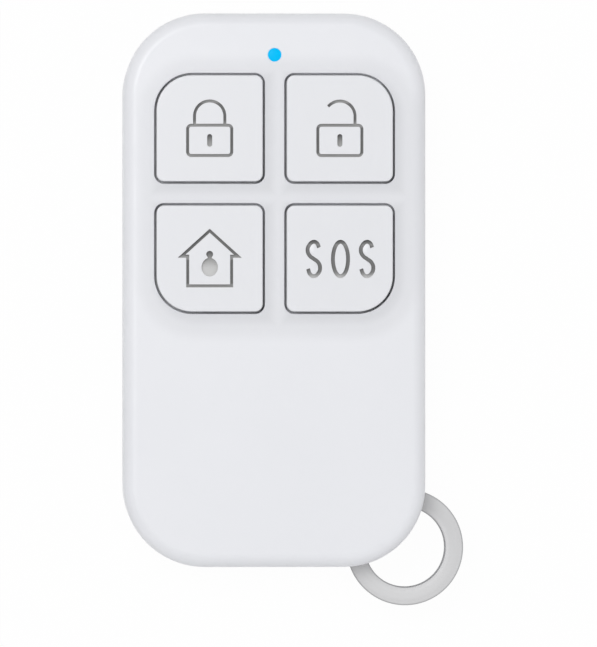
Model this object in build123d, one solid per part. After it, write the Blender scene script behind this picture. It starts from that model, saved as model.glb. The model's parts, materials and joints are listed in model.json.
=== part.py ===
from build123d import *
import math
import os

# Alarm key fob lying on its back: +X to the right and +Y to the top of the front face, +Z out of it.
# The origin is the middle of the rear face. Millimetres.

# Case
CASE_WIDTH = 33.0
CASE_LENGTH = 60.4
CASE_HEIGHT = 11.0
CORNER_RADIUS = 8.9
FRONT_EDGE_RADIUS = 1.5
REAR_EDGE_RADIUS = 1.2
SIDE_WALL = 1.5
FRONT_WALL = 1.5
REAR_WALL = 1.5
PARTING_HEIGHT = 5.0
SEAM_CHAMFER = 0.15
LIP_THICKNESS = 0.6
LIP_HEIGHT = 1.0
LIP_CLEARANCE = 0.1
OVERRUN = 1.0

# Key ring, and the corner post and slot that hold it
RING_OUTER_RADIUS = 6.38
RING_BAND = 2.03
RING_LAYER = 0.9
RING_LAYER_GAP = 0.06
RING_EDGE_CHAMFER = 0.2
RING_STEP_HALF_DEG = 15.0
RING_STEP_DIRECTION_DEG = 135.0
RING_STEP_SHARES = [0, 0.25, 0.5, 0.75, 1]
POST_RADIUS = 1.5
POST_INSET = 1.75
POST_RING_GAP = 0.32
POST_SEAT_GAP = 0.02
SLOT_RADIAL_GAP = 0.4
SLOT_HEIGHT_GAP = 0.35
SLOT_WALL = 1.0
SLOT_ROOF = 1.2
SPIGOT_RADIUS = 0.85
SPIGOT_LENGTH = 1.2
SPIGOT_CLEARANCE = 0.05
SPIGOT_END_GAP = 0.2

# Keys
KEY_SIDE_MARGIN = 3.635
KEY_SPACING = 2.63
KEY_SMALL_RADIUS = 0.82
KEY_LARGE_RADIUS = 3.88
KEY_INNER_RADIUS = 0.3
KEY_GAP = 0.25
KEY_PROUD = 0.6
KEY_EDGE_RADIUS = 0.15
KEY_FLANGE_REACH = 0.7
KEY_FLANGE_THICKNESS = 0.6
KEY_STOP_GAP = 0.05
KEY_SIDE_WALL = 1.0
KEY_TOP_WALL = 1.2
KEY_POST_RADIUS = 1.3
KEY_POST_GAP = 0.02
KEY_RIB_WIDTH = 0.6
KEY_RIB_DEPTH = 0.5

# Signs sunk into the key tops
SIGN_DEPTH = 0.35
SIGN_LINE = 0.3
PADLOCK_WIDTH = 5.1
PADLOCK_BODY_HEIGHT = 3.6
PADLOCK_BODY_TOP = 0.48
PADLOCK_CORNER_RADIUS = 0.55
SHACKLE_RADIUS = 1.65
SHACKLE_CENTRE_Y = 1.32
SHACKLE_OPEN_DEG = 140.0
KEYHOLE_WIDTH = 0.52
KEYHOLE_HEIGHT = 1.36
HOUSE_ROOF_TOP = 3.23
HOUSE_EAVE_Y = 0.1
HOUSE_EAVE_HALF = 3.45
HOUSE_WALL_HALF = 2.54
HOUSE_FLOOR_Y = -3.13
PERSON_HEAD_RADIUS = 0.36
PERSON_HEAD_Y = 0.46
PERSON_NECK_WIDTH = 0.42
PERSON_BODY_HALF_WIDTH = 0.88
PERSON_BODY_HALF_HEIGHT = 1.0
PERSON_BODY_Y = -0.95
LETTER_HEIGHT = 4.15
LETTER_S_WIDTH = 1.84
LETTER_O_WIDTH = 2.05
LETTER_LINE = 0.4
LETTER_PITCH = 2.95
LETTER_Y = -0.05
# Upper half of the S from its end to its middle, as shares of the half width and half height of its line.
LETTER_S_SHARES = [(0.82, 0.66), (0.48, 0.92), (0.0, 1.0), (-0.68, 0.83), (-0.98, 0.5), (-0.66, 0.19)]

# Circuit board
BOARD_DROP = 2.5
BOARD_THICKNESS = 1.0
BOARD_CLEARANCE = 0.3
LEDGE_REACH = 0.9
LEDGE_WIDTH = 1.2
PILLAR_RADIUS = 0.9
LEDGE_Y_SHARES = [0.3, 0.0, -0.25]

# Push switches under the keys
SWITCH_SIZE = 4.5
SWITCH_BASE_HEIGHT = 1.1
SWITCH_COVER_THICKNESS = 0.15
SWITCH_CORNER_RADIUS = 0.3
SWITCH_CAVITY_RADIUS = 1.75
SWITCH_FLOOR = 0.25
PLUNGER_RADIUS = 1.0
PLUNGER_PROUD = 0.65
PLUNGER_FLANGE_RADIUS = 1.35
PLUNGER_FLANGE_THICKNESS = 0.3
PLUNGER_SIDE_GAP = 0.05
PLUNGER_STOP_GAP = 0.02
DOME_RADIUS = 1.6
DOME_THICKNESS = 0.08
DOME_GAP = 0.02
TERMINAL_WIDTH = 0.7
TERMINAL_LENGTH = 0.7
TERMINAL_THICKNESS = 0.15
TERMINAL_SPREAD = 3.0

# Status light
LIGHT_KEY_GAP = 0.25
LIGHT_RADIUS = 0.71
LIGHT_FIT = 0.02
LIGHT_CROWN = 0.08
LIGHT_FLANGE_RADIUS = 1.3
LIGHT_FLANGE_THICKNESS = 0.5
LIGHT_STEM_RADIUS = 0.9
LIGHT_AIR_GAP = 0.3
LED_LENGTH = 2.0
LED_WIDTH = 1.25
LED_HEIGHT = 0.7
LED_LENS_RADIUS = 0.45

# Screws and their bosses
BOSS_CORNER_INSET = 0.1
BOSS_RADIUS = 1.9
BOSS_EDGE_GAP = 0.25
BOSS_KEY_GAP = 0.55
SCREW_SHANK_RADIUS = 0.85
SCREW_SHANK_LENGTH = 6.5
SCREW_HEAD_RADIUS = 1.5
SCREW_HEAD_HEIGHT = 1.0
SCREW_SINK = 0.3
SCREW_HEAD_GAP = 0.15
SCREW_HOLE_GAP = 0.1
SCREW_THREAD_FIT = 0.02
SCREW_END_ROOM = 0.5
SCREW_TIP_LENGTH = 0.6
SCREW_SLOT_WIDTH = 0.45
SCREW_SLOT_LENGTH = 1.9
SCREW_SLOT_DEPTH = 0.5

# Coin cell and the round door behind it
CELL_RADIUS = 10.0
CELL_BOARD_ROOM = 0.7
CELL_END_DISTANCE = 18.2
CELL_DOOR_GAP = 0.05
CELL_CAP_INSET = 1.2
CELL_CAP_STEP = 0.35
CELL_CAN_WALL = 0.3
CELL_SEAL_WIDTH = 0.35
CELL_EDGE_RADIUS = 0.3
DOOR_PLUG_GAP = 0.25
DOOR_RIM_REACH = 0.95
DOOR_RIM_THICKNESS = 0.75
DOOR_SINK = 0.1
DOOR_SIDE_GAP = 0.12
DOOR_AXIAL_GAP = 0.05
DOOR_LUG_COUNT = 3
DOOR_LUG_REACH = 0.7
DOOR_LUG_THICKNESS = 0.5
DOOR_LUG_HALF_DEG = 10.0
DOOR_NOTCH_HALF_DEG = 11.5
DOOR_TURN_DEG = 30.0
DOOR_STOP_WIDTH_DEG = 3.0
DOOR_STOP_PLAY_DEG = 1.5
DOOR_EDGE_CHAMFER = 0.2
COIN_SLOT_LENGTH = 13.0
COIN_SLOT_WIDTH = 2.0
COIN_SLOT_DEPTH = 1.0
MARK_RADIUS = 0.4
MARK_DEPTH = 0.15
MARK_INSET = 0.8
MARK_DIRECTION_DEG = -90.0
CUP_SIDE_GAP = 0.15
CUP_WALL = 0.8
CUP_RIB_COUNT = 6
CUP_RIB_HALF_DEG = 2.5
CUP_RIB_START_GAP = 0.3
CUP_CELL_GAP = 0.2
CUP_BOARD_GAP = 1.0

# Cell contacts
CONTACT_THICKNESS = 0.2
CONTACT_TOUCH_GAP = 0.02
PLUS_WIDTH = 3.6
PLUS_FOOT = 1.4
PLUS_DROP_SHARE = 0.75
MINUS_WIDTH = 5.0
MINUS_PLATE_LENGTH = 4.0
MINUS_FINGER_WIDTH = 1.4
MINUS_FINGER_RUN = 2.2
MINUS_FINGER_TIP = 0.8

# Parts on the circuit board, each at a share of the case's half width and half length
ENCODER_PLACE_SHARES = (-0.38, -0.3)
ENCODER_LENGTH = 4.9
ENCODER_WIDTH = 3.9
ENCODER_HEIGHT = 1.45
ENCODER_PIN_COUNT = 4
ENCODER_PIN_PITCH = 1.27
RADIO_PLACE_SHARES = (0.3, -0.3)
RADIO_LENGTH = 2.9
RADIO_WIDTH = 1.6
RADIO_HEIGHT = 1.1
RADIO_PIN_COUNT = 3
RADIO_PIN_PITCH = 0.95
CHIP_STANDOFF = 0.1
PIN_WIDTH = 0.4
PIN_THICKNESS = 0.15
PIN_REACH = 1.0
PIN_FOOT = 0.5
CRYSTAL_PLACE_SHARES = (0.3, -0.5)
CRYSTAL_LENGTH = 3.2
CRYSTAL_WIDTH = 2.5
CRYSTAL_HEIGHT = 0.75
CRYSTAL_CORNER_RADIUS = 0.3
SMALL_PART_LENGTH = 1.6
SMALL_PART_WIDTH = 0.8
RESISTOR_HEIGHT = 0.45
CAPACITOR_HEIGHT = 0.8
RESISTOR_PLACE_SHARES = [(0.0, 0.5), (0.0, 0.35), (0.0, 0.2), (0.0, 0.05), (0.0, -0.1)]
CAPACITOR_PLACE_SHARES = [(-0.7, -0.5), (-0.38, -0.5), (0.0, -0.5), (0.7, -0.3), (0.7, -0.42)]
ANTENNA_TRACK = 1.0
ANTENNA_THICKNESS = 0.1
ANTENNA_HEIGHT = 6.0
ANTENNA_GAP = 2.0
ANTENNA_EDGE_GAP = 1.25
ANTENNA_BLOCK_GAP = 1.15
ANTENNA_BOSS_GAP = 0.2

# Heights and places that follow from the sizes above
FRONT_INNER = CASE_HEIGHT - FRONT_WALL
BOARD_TOP = FRONT_INNER - BOARD_DROP
BOARD_LOW = BOARD_TOP - BOARD_THICKNESS
CAVITY_HALF_WIDTH = CASE_WIDTH / 2 - SIDE_WALL
CAVITY_HALF_LENGTH = CASE_LENGTH / 2 - SIDE_WALL
RING_INNER_RADIUS = RING_OUTER_RADIUS - RING_BAND
RING_MIDDLE = RING_INNER_RADIUS + RING_BAND / 2
RING_HALF_THICKNESS = RING_LAYER + RING_LAYER_GAP / 2
SLOT_RADIUS = RING_OUTER_RADIUS + SLOT_RADIAL_GAP
SLOT_LOW = PARTING_HEIGHT - RING_HALF_THICKNESS - SLOT_HEIGHT_GAP
SLOT_HIGH = PARTING_HEIGHT + RING_HALF_THICKNESS + SLOT_HEIGHT_GAP
BLOCK_RADIUS = SLOT_RADIUS + SLOT_WALL
DIAGONAL = Vector(1, -1, 0).normalized()
CORNER_CENTRE = Vector(CASE_WIDTH / 2 - CORNER_RADIUS, CORNER_RADIUS - CASE_LENGTH / 2, 0)
POST_PLACE = CORNER_CENTRE + DIAGONAL * (CORNER_RADIUS - POST_INSET)
RING_PLACE = POST_PLACE + DIAGONAL * (RING_INNER_RADIUS - POST_RADIUS - POST_RING_GAP)
BOSS_X = CASE_WIDTH / 2 - CORNER_RADIUS - BOSS_CORNER_INSET
BOSS_Y = CAVITY_HALF_LENGTH - BOSS_RADIUS - BOSS_EDGE_GAP
BOSS_PLACES = [(-BOSS_X, BOSS_Y), (BOSS_X, BOSS_Y), (-BOSS_X, -BOSS_Y)]
KEY_SIZE = (CASE_WIDTH - KEY_SPACING) / 2 - KEY_SIDE_MARGIN
KEY_PITCH = KEY_SIZE + KEY_SPACING
KEY_FLANGE_END = BOSS_Y - BOSS_RADIUS - BOSS_KEY_GAP
KEY_GROUP_Y = KEY_FLANGE_END - KEY_FLANGE_REACH - KEY_SIZE - KEY_SPACING / 2
LIGHT_Y = KEY_FLANGE_END + LIGHT_KEY_GAP + LIGHT_FLANGE_RADIUS
SWITCH_COVER_LOW = BOARD_TOP + SWITCH_BASE_HEIGHT
SWITCH_COVER_TOP = SWITCH_COVER_LOW + SWITCH_COVER_THICKNESS
PLUNGER_TOP = SWITCH_COVER_TOP + PLUNGER_PROUD
PLUNGER_FLANGE_TOP = SWITCH_COVER_LOW - PLUNGER_STOP_GAP
PLUNGER_LOW = PLUNGER_FLANGE_TOP - PLUNGER_FLANGE_THICKNESS
DOOR_PLUG_RADIUS = CELL_RADIUS + DOOR_PLUG_GAP
DOOR_RIM_RADIUS = DOOR_PLUG_RADIUS + DOOR_RIM_REACH
DOOR_LUG_RADIUS = DOOR_PLUG_RADIUS + DOOR_LUG_REACH
DOOR_RIM_TOP = DOOR_SINK + DOOR_RIM_THICKNESS
DOOR_LEDGE_LOW = DOOR_RIM_TOP + DOOR_AXIAL_GAP
DOOR_LUG_LOW = REAR_WALL + DOOR_AXIAL_GAP
DOOR_TOP = DOOR_LUG_LOW + DOOR_LUG_THICKNESS
DOOR_HOLE_RADIUS = DOOR_PLUG_RADIUS + DOOR_SIDE_GAP
CUP_RADIUS = DOOR_LUG_RADIUS + CUP_SIDE_GAP
CELL_LOW = DOOR_TOP + CELL_DOOR_GAP
CELL_TOP = BOARD_LOW - CELL_BOARD_ROOM
CELL_HEIGHT = CELL_TOP - CELL_LOW
CELL_CAP_RADIUS = CELL_RADIUS - CELL_CAP_INSET
CELL_Y = CELL_END_DISTANCE - CASE_LENGTH / 2
CUP_TOP = BOARD_LOW - CUP_BOARD_GAP

# Each key's name, and the corner of the group that it stands in
KEYS = [("arm", -1, 1), ("disarm", 1, 1), ("home", -1, -1), ("panic", 1, -1)]


def disc(radius, low, high, x=0, y=0):
    """Upright cylinder from one height to another."""
    return extrude(Pos(x, y, low) * Circle(radius), amount=high - low)


def block(width, length, low, high, x=0, y=0):
    """Upright box from one height to another."""
    return extrude(Pos(x, y, low) * Rectangle(width, length), amount=high - low)


def case_plate(inset, low, high):
    """The case's outline drawn in by an inset, as a plate from one height to another."""
    outline = RectangleRounded(CASE_WIDTH - 2 * inset, CASE_LENGTH - 2 * inset, CORNER_RADIUS - inset)
    return extrude(Pos(0, 0, low) * outline, amount=high - low)


def sector(inner, outer, middle_deg, half_deg, low, high):
    """Piece of a ring around the cell's axis, between two radii and two heights."""
    start = middle_deg - half_deg
    inner_arc = CenterArc((0, 0), inner, start, 2 * half_deg)
    outer_arc = CenterArc((0, 0), outer, start, 2 * half_deg)
    side_a = Line(inner_arc @ 0, outer_arc @ 0)
    side_b = Line(inner_arc @ 1, outer_arc @ 1)
    outline = make_face([inner_arc, outer_arc, side_a, side_b])
    return extrude(Pos(0, CELL_Y, low) * outline, amount=high - low)


def edges_at(shape, height):
    """Edges of a shape that lie flat at one height."""
    return shape.edges().filter_by_position(Axis.Z, height, height)


def key_outline(side_x, side_y, grow=0):
    """A key's outline, grown on every side, with its large corner towards the outside of the group."""
    size = KEY_SIZE + 2 * grow
    outside = (side_x * size, side_y * size, 0)
    corners = Rectangle(size, size).vertices().sort_by_distance(outside)
    outline = fillet(corners[1:], max(KEY_SMALL_RADIUS + grow, KEY_INNER_RADIUS))
    return fillet(outline.vertices().sort_by_distance(outside)[0], KEY_LARGE_RADIUS + grow)


def key_place(side_x, side_y):
    """Middle of a key on the front face."""
    return side_x * KEY_PITCH / 2, KEY_GROUP_Y + side_y * KEY_PITCH / 2


def key_plate(side_x, side_y, grow, low, high):
    """A key's outline, grown on every side, as a plate in its place."""
    x, y = key_place(side_x, side_y)
    return extrude(Pos(x, y, low) * key_outline(side_x, side_y, grow), amount=high - low)


def padlock_body():
    """Outline of a padlock's body and its keyhole."""
    height = PADLOCK_BODY_HEIGHT
    outer = RectangleRounded(PADLOCK_WIDTH, height, PADLOCK_CORNER_RADIUS)
    inner = RectangleRounded(PADLOCK_WIDTH - 2 * SIGN_LINE, height - 2 * SIGN_LINE,
                             PADLOCK_CORNER_RADIUS - SIGN_LINE)
    keyhole = Rot(0, 0, 90) * SlotOverall(KEYHOLE_HEIGHT, KEYHOLE_WIDTH)
    return Pos(0, PADLOCK_BODY_TOP - height / 2) * (outer - inner + keyhole)


def shackle(leg_sides, sweep_deg):
    """A padlock's shackle: an arc from its right end, and a leg on each side named."""
    arc = trace(CenterArc((0, SHACKLE_CENTRE_Y), SHACKLE_RADIUS, 0, sweep_deg), SIGN_LINE)
    leg_top = SHACKLE_CENTRE_Y
    leg_low = PADLOCK_BODY_TOP - SIGN_LINE / 2
    leg = Rectangle(SIGN_LINE, leg_top - leg_low)
    for side in leg_sides:
        arc += Pos(side * SHACKLE_RADIUS, (leg_top + leg_low) / 2) * leg
    return arc


def house():
    """Outline of a house with a figure inside."""
    corners = [
        (0, HOUSE_ROOF_TOP),
        (HOUSE_EAVE_HALF, HOUSE_EAVE_Y),
        (HOUSE_WALL_HALF, HOUSE_EAVE_Y),
        (HOUSE_WALL_HALF, HOUSE_FLOOR_Y),
        (-HOUSE_WALL_HALF, HOUSE_FLOOR_Y),
        (-HOUSE_WALL_HALF, HOUSE_EAVE_Y),
        (-HOUSE_EAVE_HALF, HOUSE_EAVE_Y),
    ]
    walls = make_face(Polyline(*corners, close=True))
    line = walls - offset(walls, -SIGN_LINE, kind=Kind.INTERSECTION)
    head = Pos(0, PERSON_HEAD_Y) * Circle(PERSON_HEAD_RADIUS)
    body = Pos(0, PERSON_BODY_Y) * Ellipse(PERSON_BODY_HALF_WIDTH, PERSON_BODY_HALF_HEIGHT)
    neck_height = PERSON_HEAD_Y - PERSON_BODY_Y
    neck = Pos(0, PERSON_BODY_Y + neck_height / 2) * Rectangle(PERSON_NECK_WIDTH, neck_height)
    return line + (head + body + neck)


def letters():
    """The three letters of the distress call."""
    half_width = (LETTER_S_WIDTH - LETTER_LINE) / 2
    half_height = (LETTER_HEIGHT - LETTER_LINE) / 2
    upper = [(x * half_width, y * half_height) for x, y in LETTER_S_SHARES]
    lower = [(-x, -y) for x, y in reversed(upper)]
    letter_s = trace(Spline(*upper, (0, 0), *lower), LETTER_LINE)
    outer = Ellipse(LETTER_O_WIDTH / 2, LETTER_HEIGHT / 2)
    letter_o = outer - Ellipse(LETTER_O_WIDTH / 2 - LETTER_LINE, LETTER_HEIGHT / 2 - LETTER_LINE)
    word = Pos(0, LETTER_Y) * letter_o
    for side in (-1, 1):
        word += Pos(side * LETTER_PITCH, LETTER_Y) * letter_s
    return word


def key_sign(name):
    """The sign on a key's top, as a flat outline around the key's middle."""
    if name == "arm":
        return padlock_body() + shackle((-1, 1), 180)
    if name == "disarm":
        return padlock_body() + shackle((1,), SHACKLE_OPEN_DEG)
    if name == "home":
        return house()
    return letters()


def key(name, side_x, side_y):
    """Hollow key cap with a flange that stops under the front wall, and a post over its switch."""
    x, y = key_place(side_x, side_y)
    top = CASE_HEIGHT + KEY_PROUD
    flange_top = FRONT_INNER - KEY_STOP_GAP
    flange_low = flange_top - KEY_FLANGE_THICKNESS
    ceiling = top - KEY_TOP_WALL
    cap = key_plate(side_x, side_y, 0, flange_low, top)
    cap = fillet(edges_at(cap, top), KEY_EDGE_RADIUS)
    cap += key_plate(side_x, side_y, KEY_FLANGE_REACH, flange_low, flange_top)
    hollow = key_plate(side_x, side_y, -KEY_SIDE_WALL, flange_low - OVERRUN, ceiling)
    rib_low = ceiling - KEY_RIB_DEPTH
    for width, length in ((KEY_SIZE, KEY_RIB_WIDTH), (KEY_RIB_WIDTH, KEY_SIZE)):
        hollow -= block(width, length, rib_low, ceiling, x, y)
    hollow -= disc(KEY_POST_RADIUS, PLUNGER_TOP + KEY_POST_GAP, ceiling, x, y)
    cap -= hollow
    sign = extrude(Pos(x, y, top - SIGN_DEPTH) * key_sign(name), amount=SIGN_DEPTH + OVERRUN)
    return cap - sign


def corner_block(low, high):
    """Solid corner of the case around the ring's post."""
    return disc(BLOCK_RADIUS, low, high, POST_PLACE.X, POST_PLACE.Y) & case_plate(0, low, high)


def ring_slot(low, high):
    """Room in which the key ring swings."""
    return disc(SLOT_RADIUS, low, high, POST_PLACE.X, POST_PLACE.Y)


def seam_band(outer_inset, inner_inset, low, high):
    """Band that follows the case's outline, left out at the ring's corner."""
    band = case_plate(outer_inset, low, high) - case_plate(inner_inset, low - OVERRUN, high + OVERRUN)
    reach = BLOCK_RADIUS + LIP_CLEARANCE
    return band - disc(reach, low - OVERRUN, high + OVERRUN, POST_PLACE.X, POST_PLACE.Y)


def front_shell():
    """Front half of the case, with the key openings, screw bosses, board ledges and the ring's post."""
    outer = case_plate(0, PARTING_HEIGHT, CASE_HEIGHT)
    outer = fillet(edges_at(outer, CASE_HEIGHT), FRONT_EDGE_RADIUS)
    outer = chamfer(edges_at(outer, PARTING_HEIGHT), SEAM_CHAMFER)
    hollow = case_plate(SIDE_WALL, PARTING_HEIGHT - OVERRUN, FRONT_INNER)
    for x, y in BOSS_PLACES:
        hollow -= disc(BOSS_RADIUS, PARTING_HEIGHT, FRONT_INNER, x, y)
    for share in LEDGE_Y_SHARES:
        for side in (-1, 1):
            ledge_x = side * (CAVITY_HALF_WIDTH - LEDGE_REACH / 2)
            hollow -= block(LEDGE_REACH, LEDGE_WIDTH, BOARD_TOP, FRONT_INNER, ledge_x, share * CASE_LENGTH)
    hollow -= corner_block(PARTING_HEIGHT, SLOT_HIGH + SLOT_ROOF)
    shell = outer - hollow
    shell += seam_band(SIDE_WALL - LIP_THICKNESS, SIDE_WALL, PARTING_HEIGHT - LIP_HEIGHT, PARTING_HEIGHT)
    shell -= ring_slot(PARTING_HEIGHT - OVERRUN, SLOT_HIGH)
    for _, side_x, side_y in KEYS:
        shell -= key_plate(side_x, side_y, KEY_GAP, FRONT_INNER - OVERRUN, CASE_HEIGHT + OVERRUN)
    shell -= disc(LIGHT_RADIUS + LIGHT_FIT, FRONT_INNER - OVERRUN, CASE_HEIGHT + OVERRUN, 0, LIGHT_Y)
    shell += disc(POST_RADIUS, SLOT_LOW + POST_SEAT_GAP, SLOT_HIGH, POST_PLACE.X, POST_PLACE.Y)
    spigot_low = SLOT_LOW - SPIGOT_LENGTH
    shell += disc(SPIGOT_RADIUS, spigot_low, SLOT_LOW + POST_SEAT_GAP, POST_PLACE.X, POST_PLACE.Y)
    pilot_top = SCREW_SINK + SCREW_HEAD_HEIGHT + SCREW_SHANK_LENGTH + SCREW_END_ROOM
    for x, y in BOSS_PLACES:
        shell -= disc(SCREW_SHANK_RADIUS + SCREW_THREAD_FIT, PARTING_HEIGHT - OVERRUN, pilot_top, x, y)
    return shell


def door_bayonet():
    """Cuts and stops around the door's opening: a ledge with a notch for each lug, and two stops."""
    ledge_top = REAR_WALL + OVERRUN
    cut = disc(DOOR_RIM_RADIUS + DOOR_SIDE_GAP, -OVERRUN, DOOR_LEDGE_LOW, 0, CELL_Y)
    cut += disc(DOOR_HOLE_RADIUS, -OVERRUN, ledge_top, 0, CELL_Y)
    stops = Part()
    step = 360 / DOOR_LUG_COUNT
    locked_stop = DOOR_LUG_HALF_DEG + DOOR_STOP_PLAY_DEG + DOOR_STOP_WIDTH_DEG / 2
    open_stop = DOOR_TURN_DEG + locked_stop
    for number in range(DOOR_LUG_COUNT):
        angle = number * step
        inner = DOOR_HOLE_RADIUS - DOOR_SIDE_GAP
        cut += sector(inner, CUP_RADIUS, angle - DOOR_TURN_DEG, DOOR_NOTCH_HALF_DEG, -OVERRUN, ledge_top)
        for stop in (angle + locked_stop, angle - open_stop):
            stops += sector(DOOR_HOLE_RADIUS, CUP_RADIUS + CUP_WALL / 2, stop, DOOR_STOP_WIDTH_DEG / 2,
                            REAR_WALL, DOOR_TOP)
    return cut, stops


def cell_cup():
    """Round wall that holds the cell, with ribs that centre it above the door's lugs."""
    cup = disc(CUP_RADIUS + CUP_WALL, REAR_WALL, CUP_TOP, 0, CELL_Y)
    cup -= disc(CUP_RADIUS, REAR_WALL - OVERRUN, CUP_TOP + OVERRUN, 0, CELL_Y)
    rib_low = DOOR_TOP + CUP_RIB_START_GAP
    for number in range(CUP_RIB_COUNT):
        angle = (number + 0.5) * 360 / CUP_RIB_COUNT
        inner = CELL_RADIUS + CUP_CELL_GAP
        cup += sector(inner, CUP_RADIUS + CUP_WALL / 2, angle, CUP_RIB_HALF_DEG, rib_low, CUP_TOP)
    return cup


def rear_shell():
    """Rear half of the case: the door's opening, cell cup, screw bosses, board pillars and ring slot."""
    outer = case_plate(0, 0, PARTING_HEIGHT)
    outer = fillet(edges_at(outer, 0), REAR_EDGE_RADIUS)
    outer = chamfer(edges_at(outer, PARTING_HEIGHT), SEAM_CHAMFER)
    hollow = case_plate(SIDE_WALL, REAR_WALL, PARTING_HEIGHT + OVERRUN)
    hollow -= corner_block(REAR_WALL, PARTING_HEIGHT + OVERRUN)
    shell = outer - hollow
    rebate_inset = SIDE_WALL - LIP_THICKNESS - LIP_CLEARANCE
    shell -= seam_band(rebate_inset, SIDE_WALL + LIP_CLEARANCE, PARTING_HEIGHT - LIP_HEIGHT - LIP_CLEARANCE,
                       PARTING_HEIGHT + OVERRUN)
    for x, y in BOSS_PLACES:
        shell += disc(BOSS_RADIUS, 0, PARTING_HEIGHT, x, y)
    for share in LEDGE_Y_SHARES:
        for side in (-1, 1):
            pillar_x = side * (CAVITY_HALF_WIDTH - LEDGE_REACH - PILLAR_RADIUS)
            shell += disc(PILLAR_RADIUS, REAR_WALL, BOARD_LOW, pillar_x, share * CASE_LENGTH)
    shell += cell_cup()
    bayonet, stops = door_bayonet()
    shell = shell - bayonet + stops
    shell -= ring_slot(SLOT_LOW, PARTING_HEIGHT + OVERRUN)
    socket_radius = SPIGOT_RADIUS + SPIGOT_CLEARANCE
    socket_low = SLOT_LOW - SPIGOT_LENGTH - SPIGOT_END_GAP
    shell -= disc(socket_radius, socket_low, SLOT_LOW + OVERRUN, POST_PLACE.X, POST_PLACE.Y)
    for x, y in BOSS_PLACES:
        shell -= disc(SCREW_HEAD_RADIUS + SCREW_HEAD_GAP, -OVERRUN, SCREW_SINK + SCREW_HEAD_HEIGHT, x, y)
        shell -= disc(SCREW_SHANK_RADIUS + SCREW_HOLE_GAP, -OVERRUN, PARTING_HEIGHT + OVERRUN, x, y)
    mark_radius = DOOR_RIM_RADIUS + DOOR_SIDE_GAP + MARK_INSET
    for angle in (MARK_DIRECTION_DEG, MARK_DIRECTION_DEG - DOOR_TURN_DEG):
        mark = Vector(mark_radius, 0, 0).rotate(Axis.Z, angle)
        shell -= disc(MARK_RADIUS, -OVERRUN, MARK_DEPTH, mark.X, CELL_Y + mark.Y)
    return shell


def battery_door():
    """Round door that a coin turns: a rim, a plug and lugs that pass behind the rear wall's ledge."""
    rim = disc(DOOR_RIM_RADIUS, DOOR_SINK, DOOR_RIM_TOP, 0, CELL_Y)
    rim = chamfer(edges_at(rim, DOOR_SINK), DOOR_EDGE_CHAMFER)
    door = rim + disc(DOOR_PLUG_RADIUS, DOOR_RIM_TOP, DOOR_TOP, 0, CELL_Y)
    for number in range(DOOR_LUG_COUNT):
        angle = number * 360 / DOOR_LUG_COUNT
        inner = DOOR_PLUG_RADIUS - DOOR_LUG_REACH
        door += sector(inner, DOOR_LUG_RADIUS, angle, DOOR_LUG_HALF_DEG, DOOR_LUG_LOW, DOOR_TOP)
    slot = Pos(0, CELL_Y, DOOR_SINK - OVERRUN) * SlotOverall(COIN_SLOT_LENGTH, COIN_SLOT_WIDTH)
    door -= extrude(slot, amount=OVERRUN + COIN_SLOT_DEPTH)
    mark = Vector(DOOR_RIM_RADIUS - MARK_INSET, 0, 0).rotate(Axis.Z, MARK_DIRECTION_DEG)
    return door - disc(MARK_RADIUS, DOOR_SINK - OVERRUN, DOOR_SINK + MARK_DEPTH, mark.X, CELL_Y + mark.Y)


def ring_section(angle_deg, height):
    """The ring wire's section at an angle around the ring, with the middle of the wire at a height."""
    band = Rectangle(RING_BAND, RING_LAYER)
    band = chamfer(band.vertices(), RING_EDGE_CHAMFER)
    plane = Plane(origin=(0, 0, height), x_dir=(1, 0, 0), z_dir=(0, -1, 0))
    section = plane * Pos(RING_MIDDLE, 0) * band
    return Rot(0, 0, angle_deg) * section


def key_ring():
    """Split ring of two layers, joined by a step that sits in the case at rest."""
    half_step = (RING_LAYER + RING_LAYER_GAP) / 2
    start = RING_STEP_DIRECTION_DEG + RING_STEP_HALF_DEG
    turn = 360 - 2 * RING_STEP_HALF_DEG
    ring = Part()
    for height in (-half_step, half_step):
        ring += revolve(ring_section(start, height), Axis.Z, turn)
    sections = []
    for share in RING_STEP_SHARES:
        rise = (1 - math.cos(math.pi * share)) / 2
        angle = start - 2 * RING_STEP_HALF_DEG * share
        sections.append(ring_section(angle, half_step * (2 * rise - 1)))
    ring += loft(sections)
    return Pos(RING_PLACE.X, RING_PLACE.Y, PARTING_HEIGHT) * ring


def circuit_board():
    """Board that fills the case, cut away around the bosses and the ring's corner."""
    board = case_plate(SIDE_WALL + BOARD_CLEARANCE, BOARD_LOW, BOARD_TOP)
    for x, y in BOSS_PLACES:
        board -= disc(BOSS_RADIUS + BOARD_CLEARANCE, BOARD_LOW - OVERRUN, BOARD_TOP + OVERRUN, x, y)
    reach = BLOCK_RADIUS + BOARD_CLEARANCE
    return board - disc(reach, BOARD_LOW - OVERRUN, BOARD_TOP + OVERRUN, POST_PLACE.X, POST_PLACE.Y)


def switch_base(side_x, side_y):
    """Moulded base of a push switch, open at the top for its dome and plunger."""
    x, y = key_place(side_x, side_y)
    outline = RectangleRounded(SWITCH_SIZE, SWITCH_SIZE, SWITCH_CORNER_RADIUS)
    base = extrude(Pos(x, y, BOARD_TOP) * outline, amount=SWITCH_BASE_HEIGHT)
    return base - disc(SWITCH_CAVITY_RADIUS, BOARD_TOP + SWITCH_FLOOR, SWITCH_COVER_LOW + OVERRUN, x, y)


def switch_cover(side_x, side_y):
    """Metal plate that keeps the plunger in its switch."""
    x, y = key_place(side_x, side_y)
    outline = RectangleRounded(SWITCH_SIZE, SWITCH_SIZE, SWITCH_CORNER_RADIUS)
    outline -= Circle(PLUNGER_RADIUS + PLUNGER_SIDE_GAP)
    return extrude(Pos(x, y, SWITCH_COVER_LOW) * outline, amount=SWITCH_COVER_THICKNESS)


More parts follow.
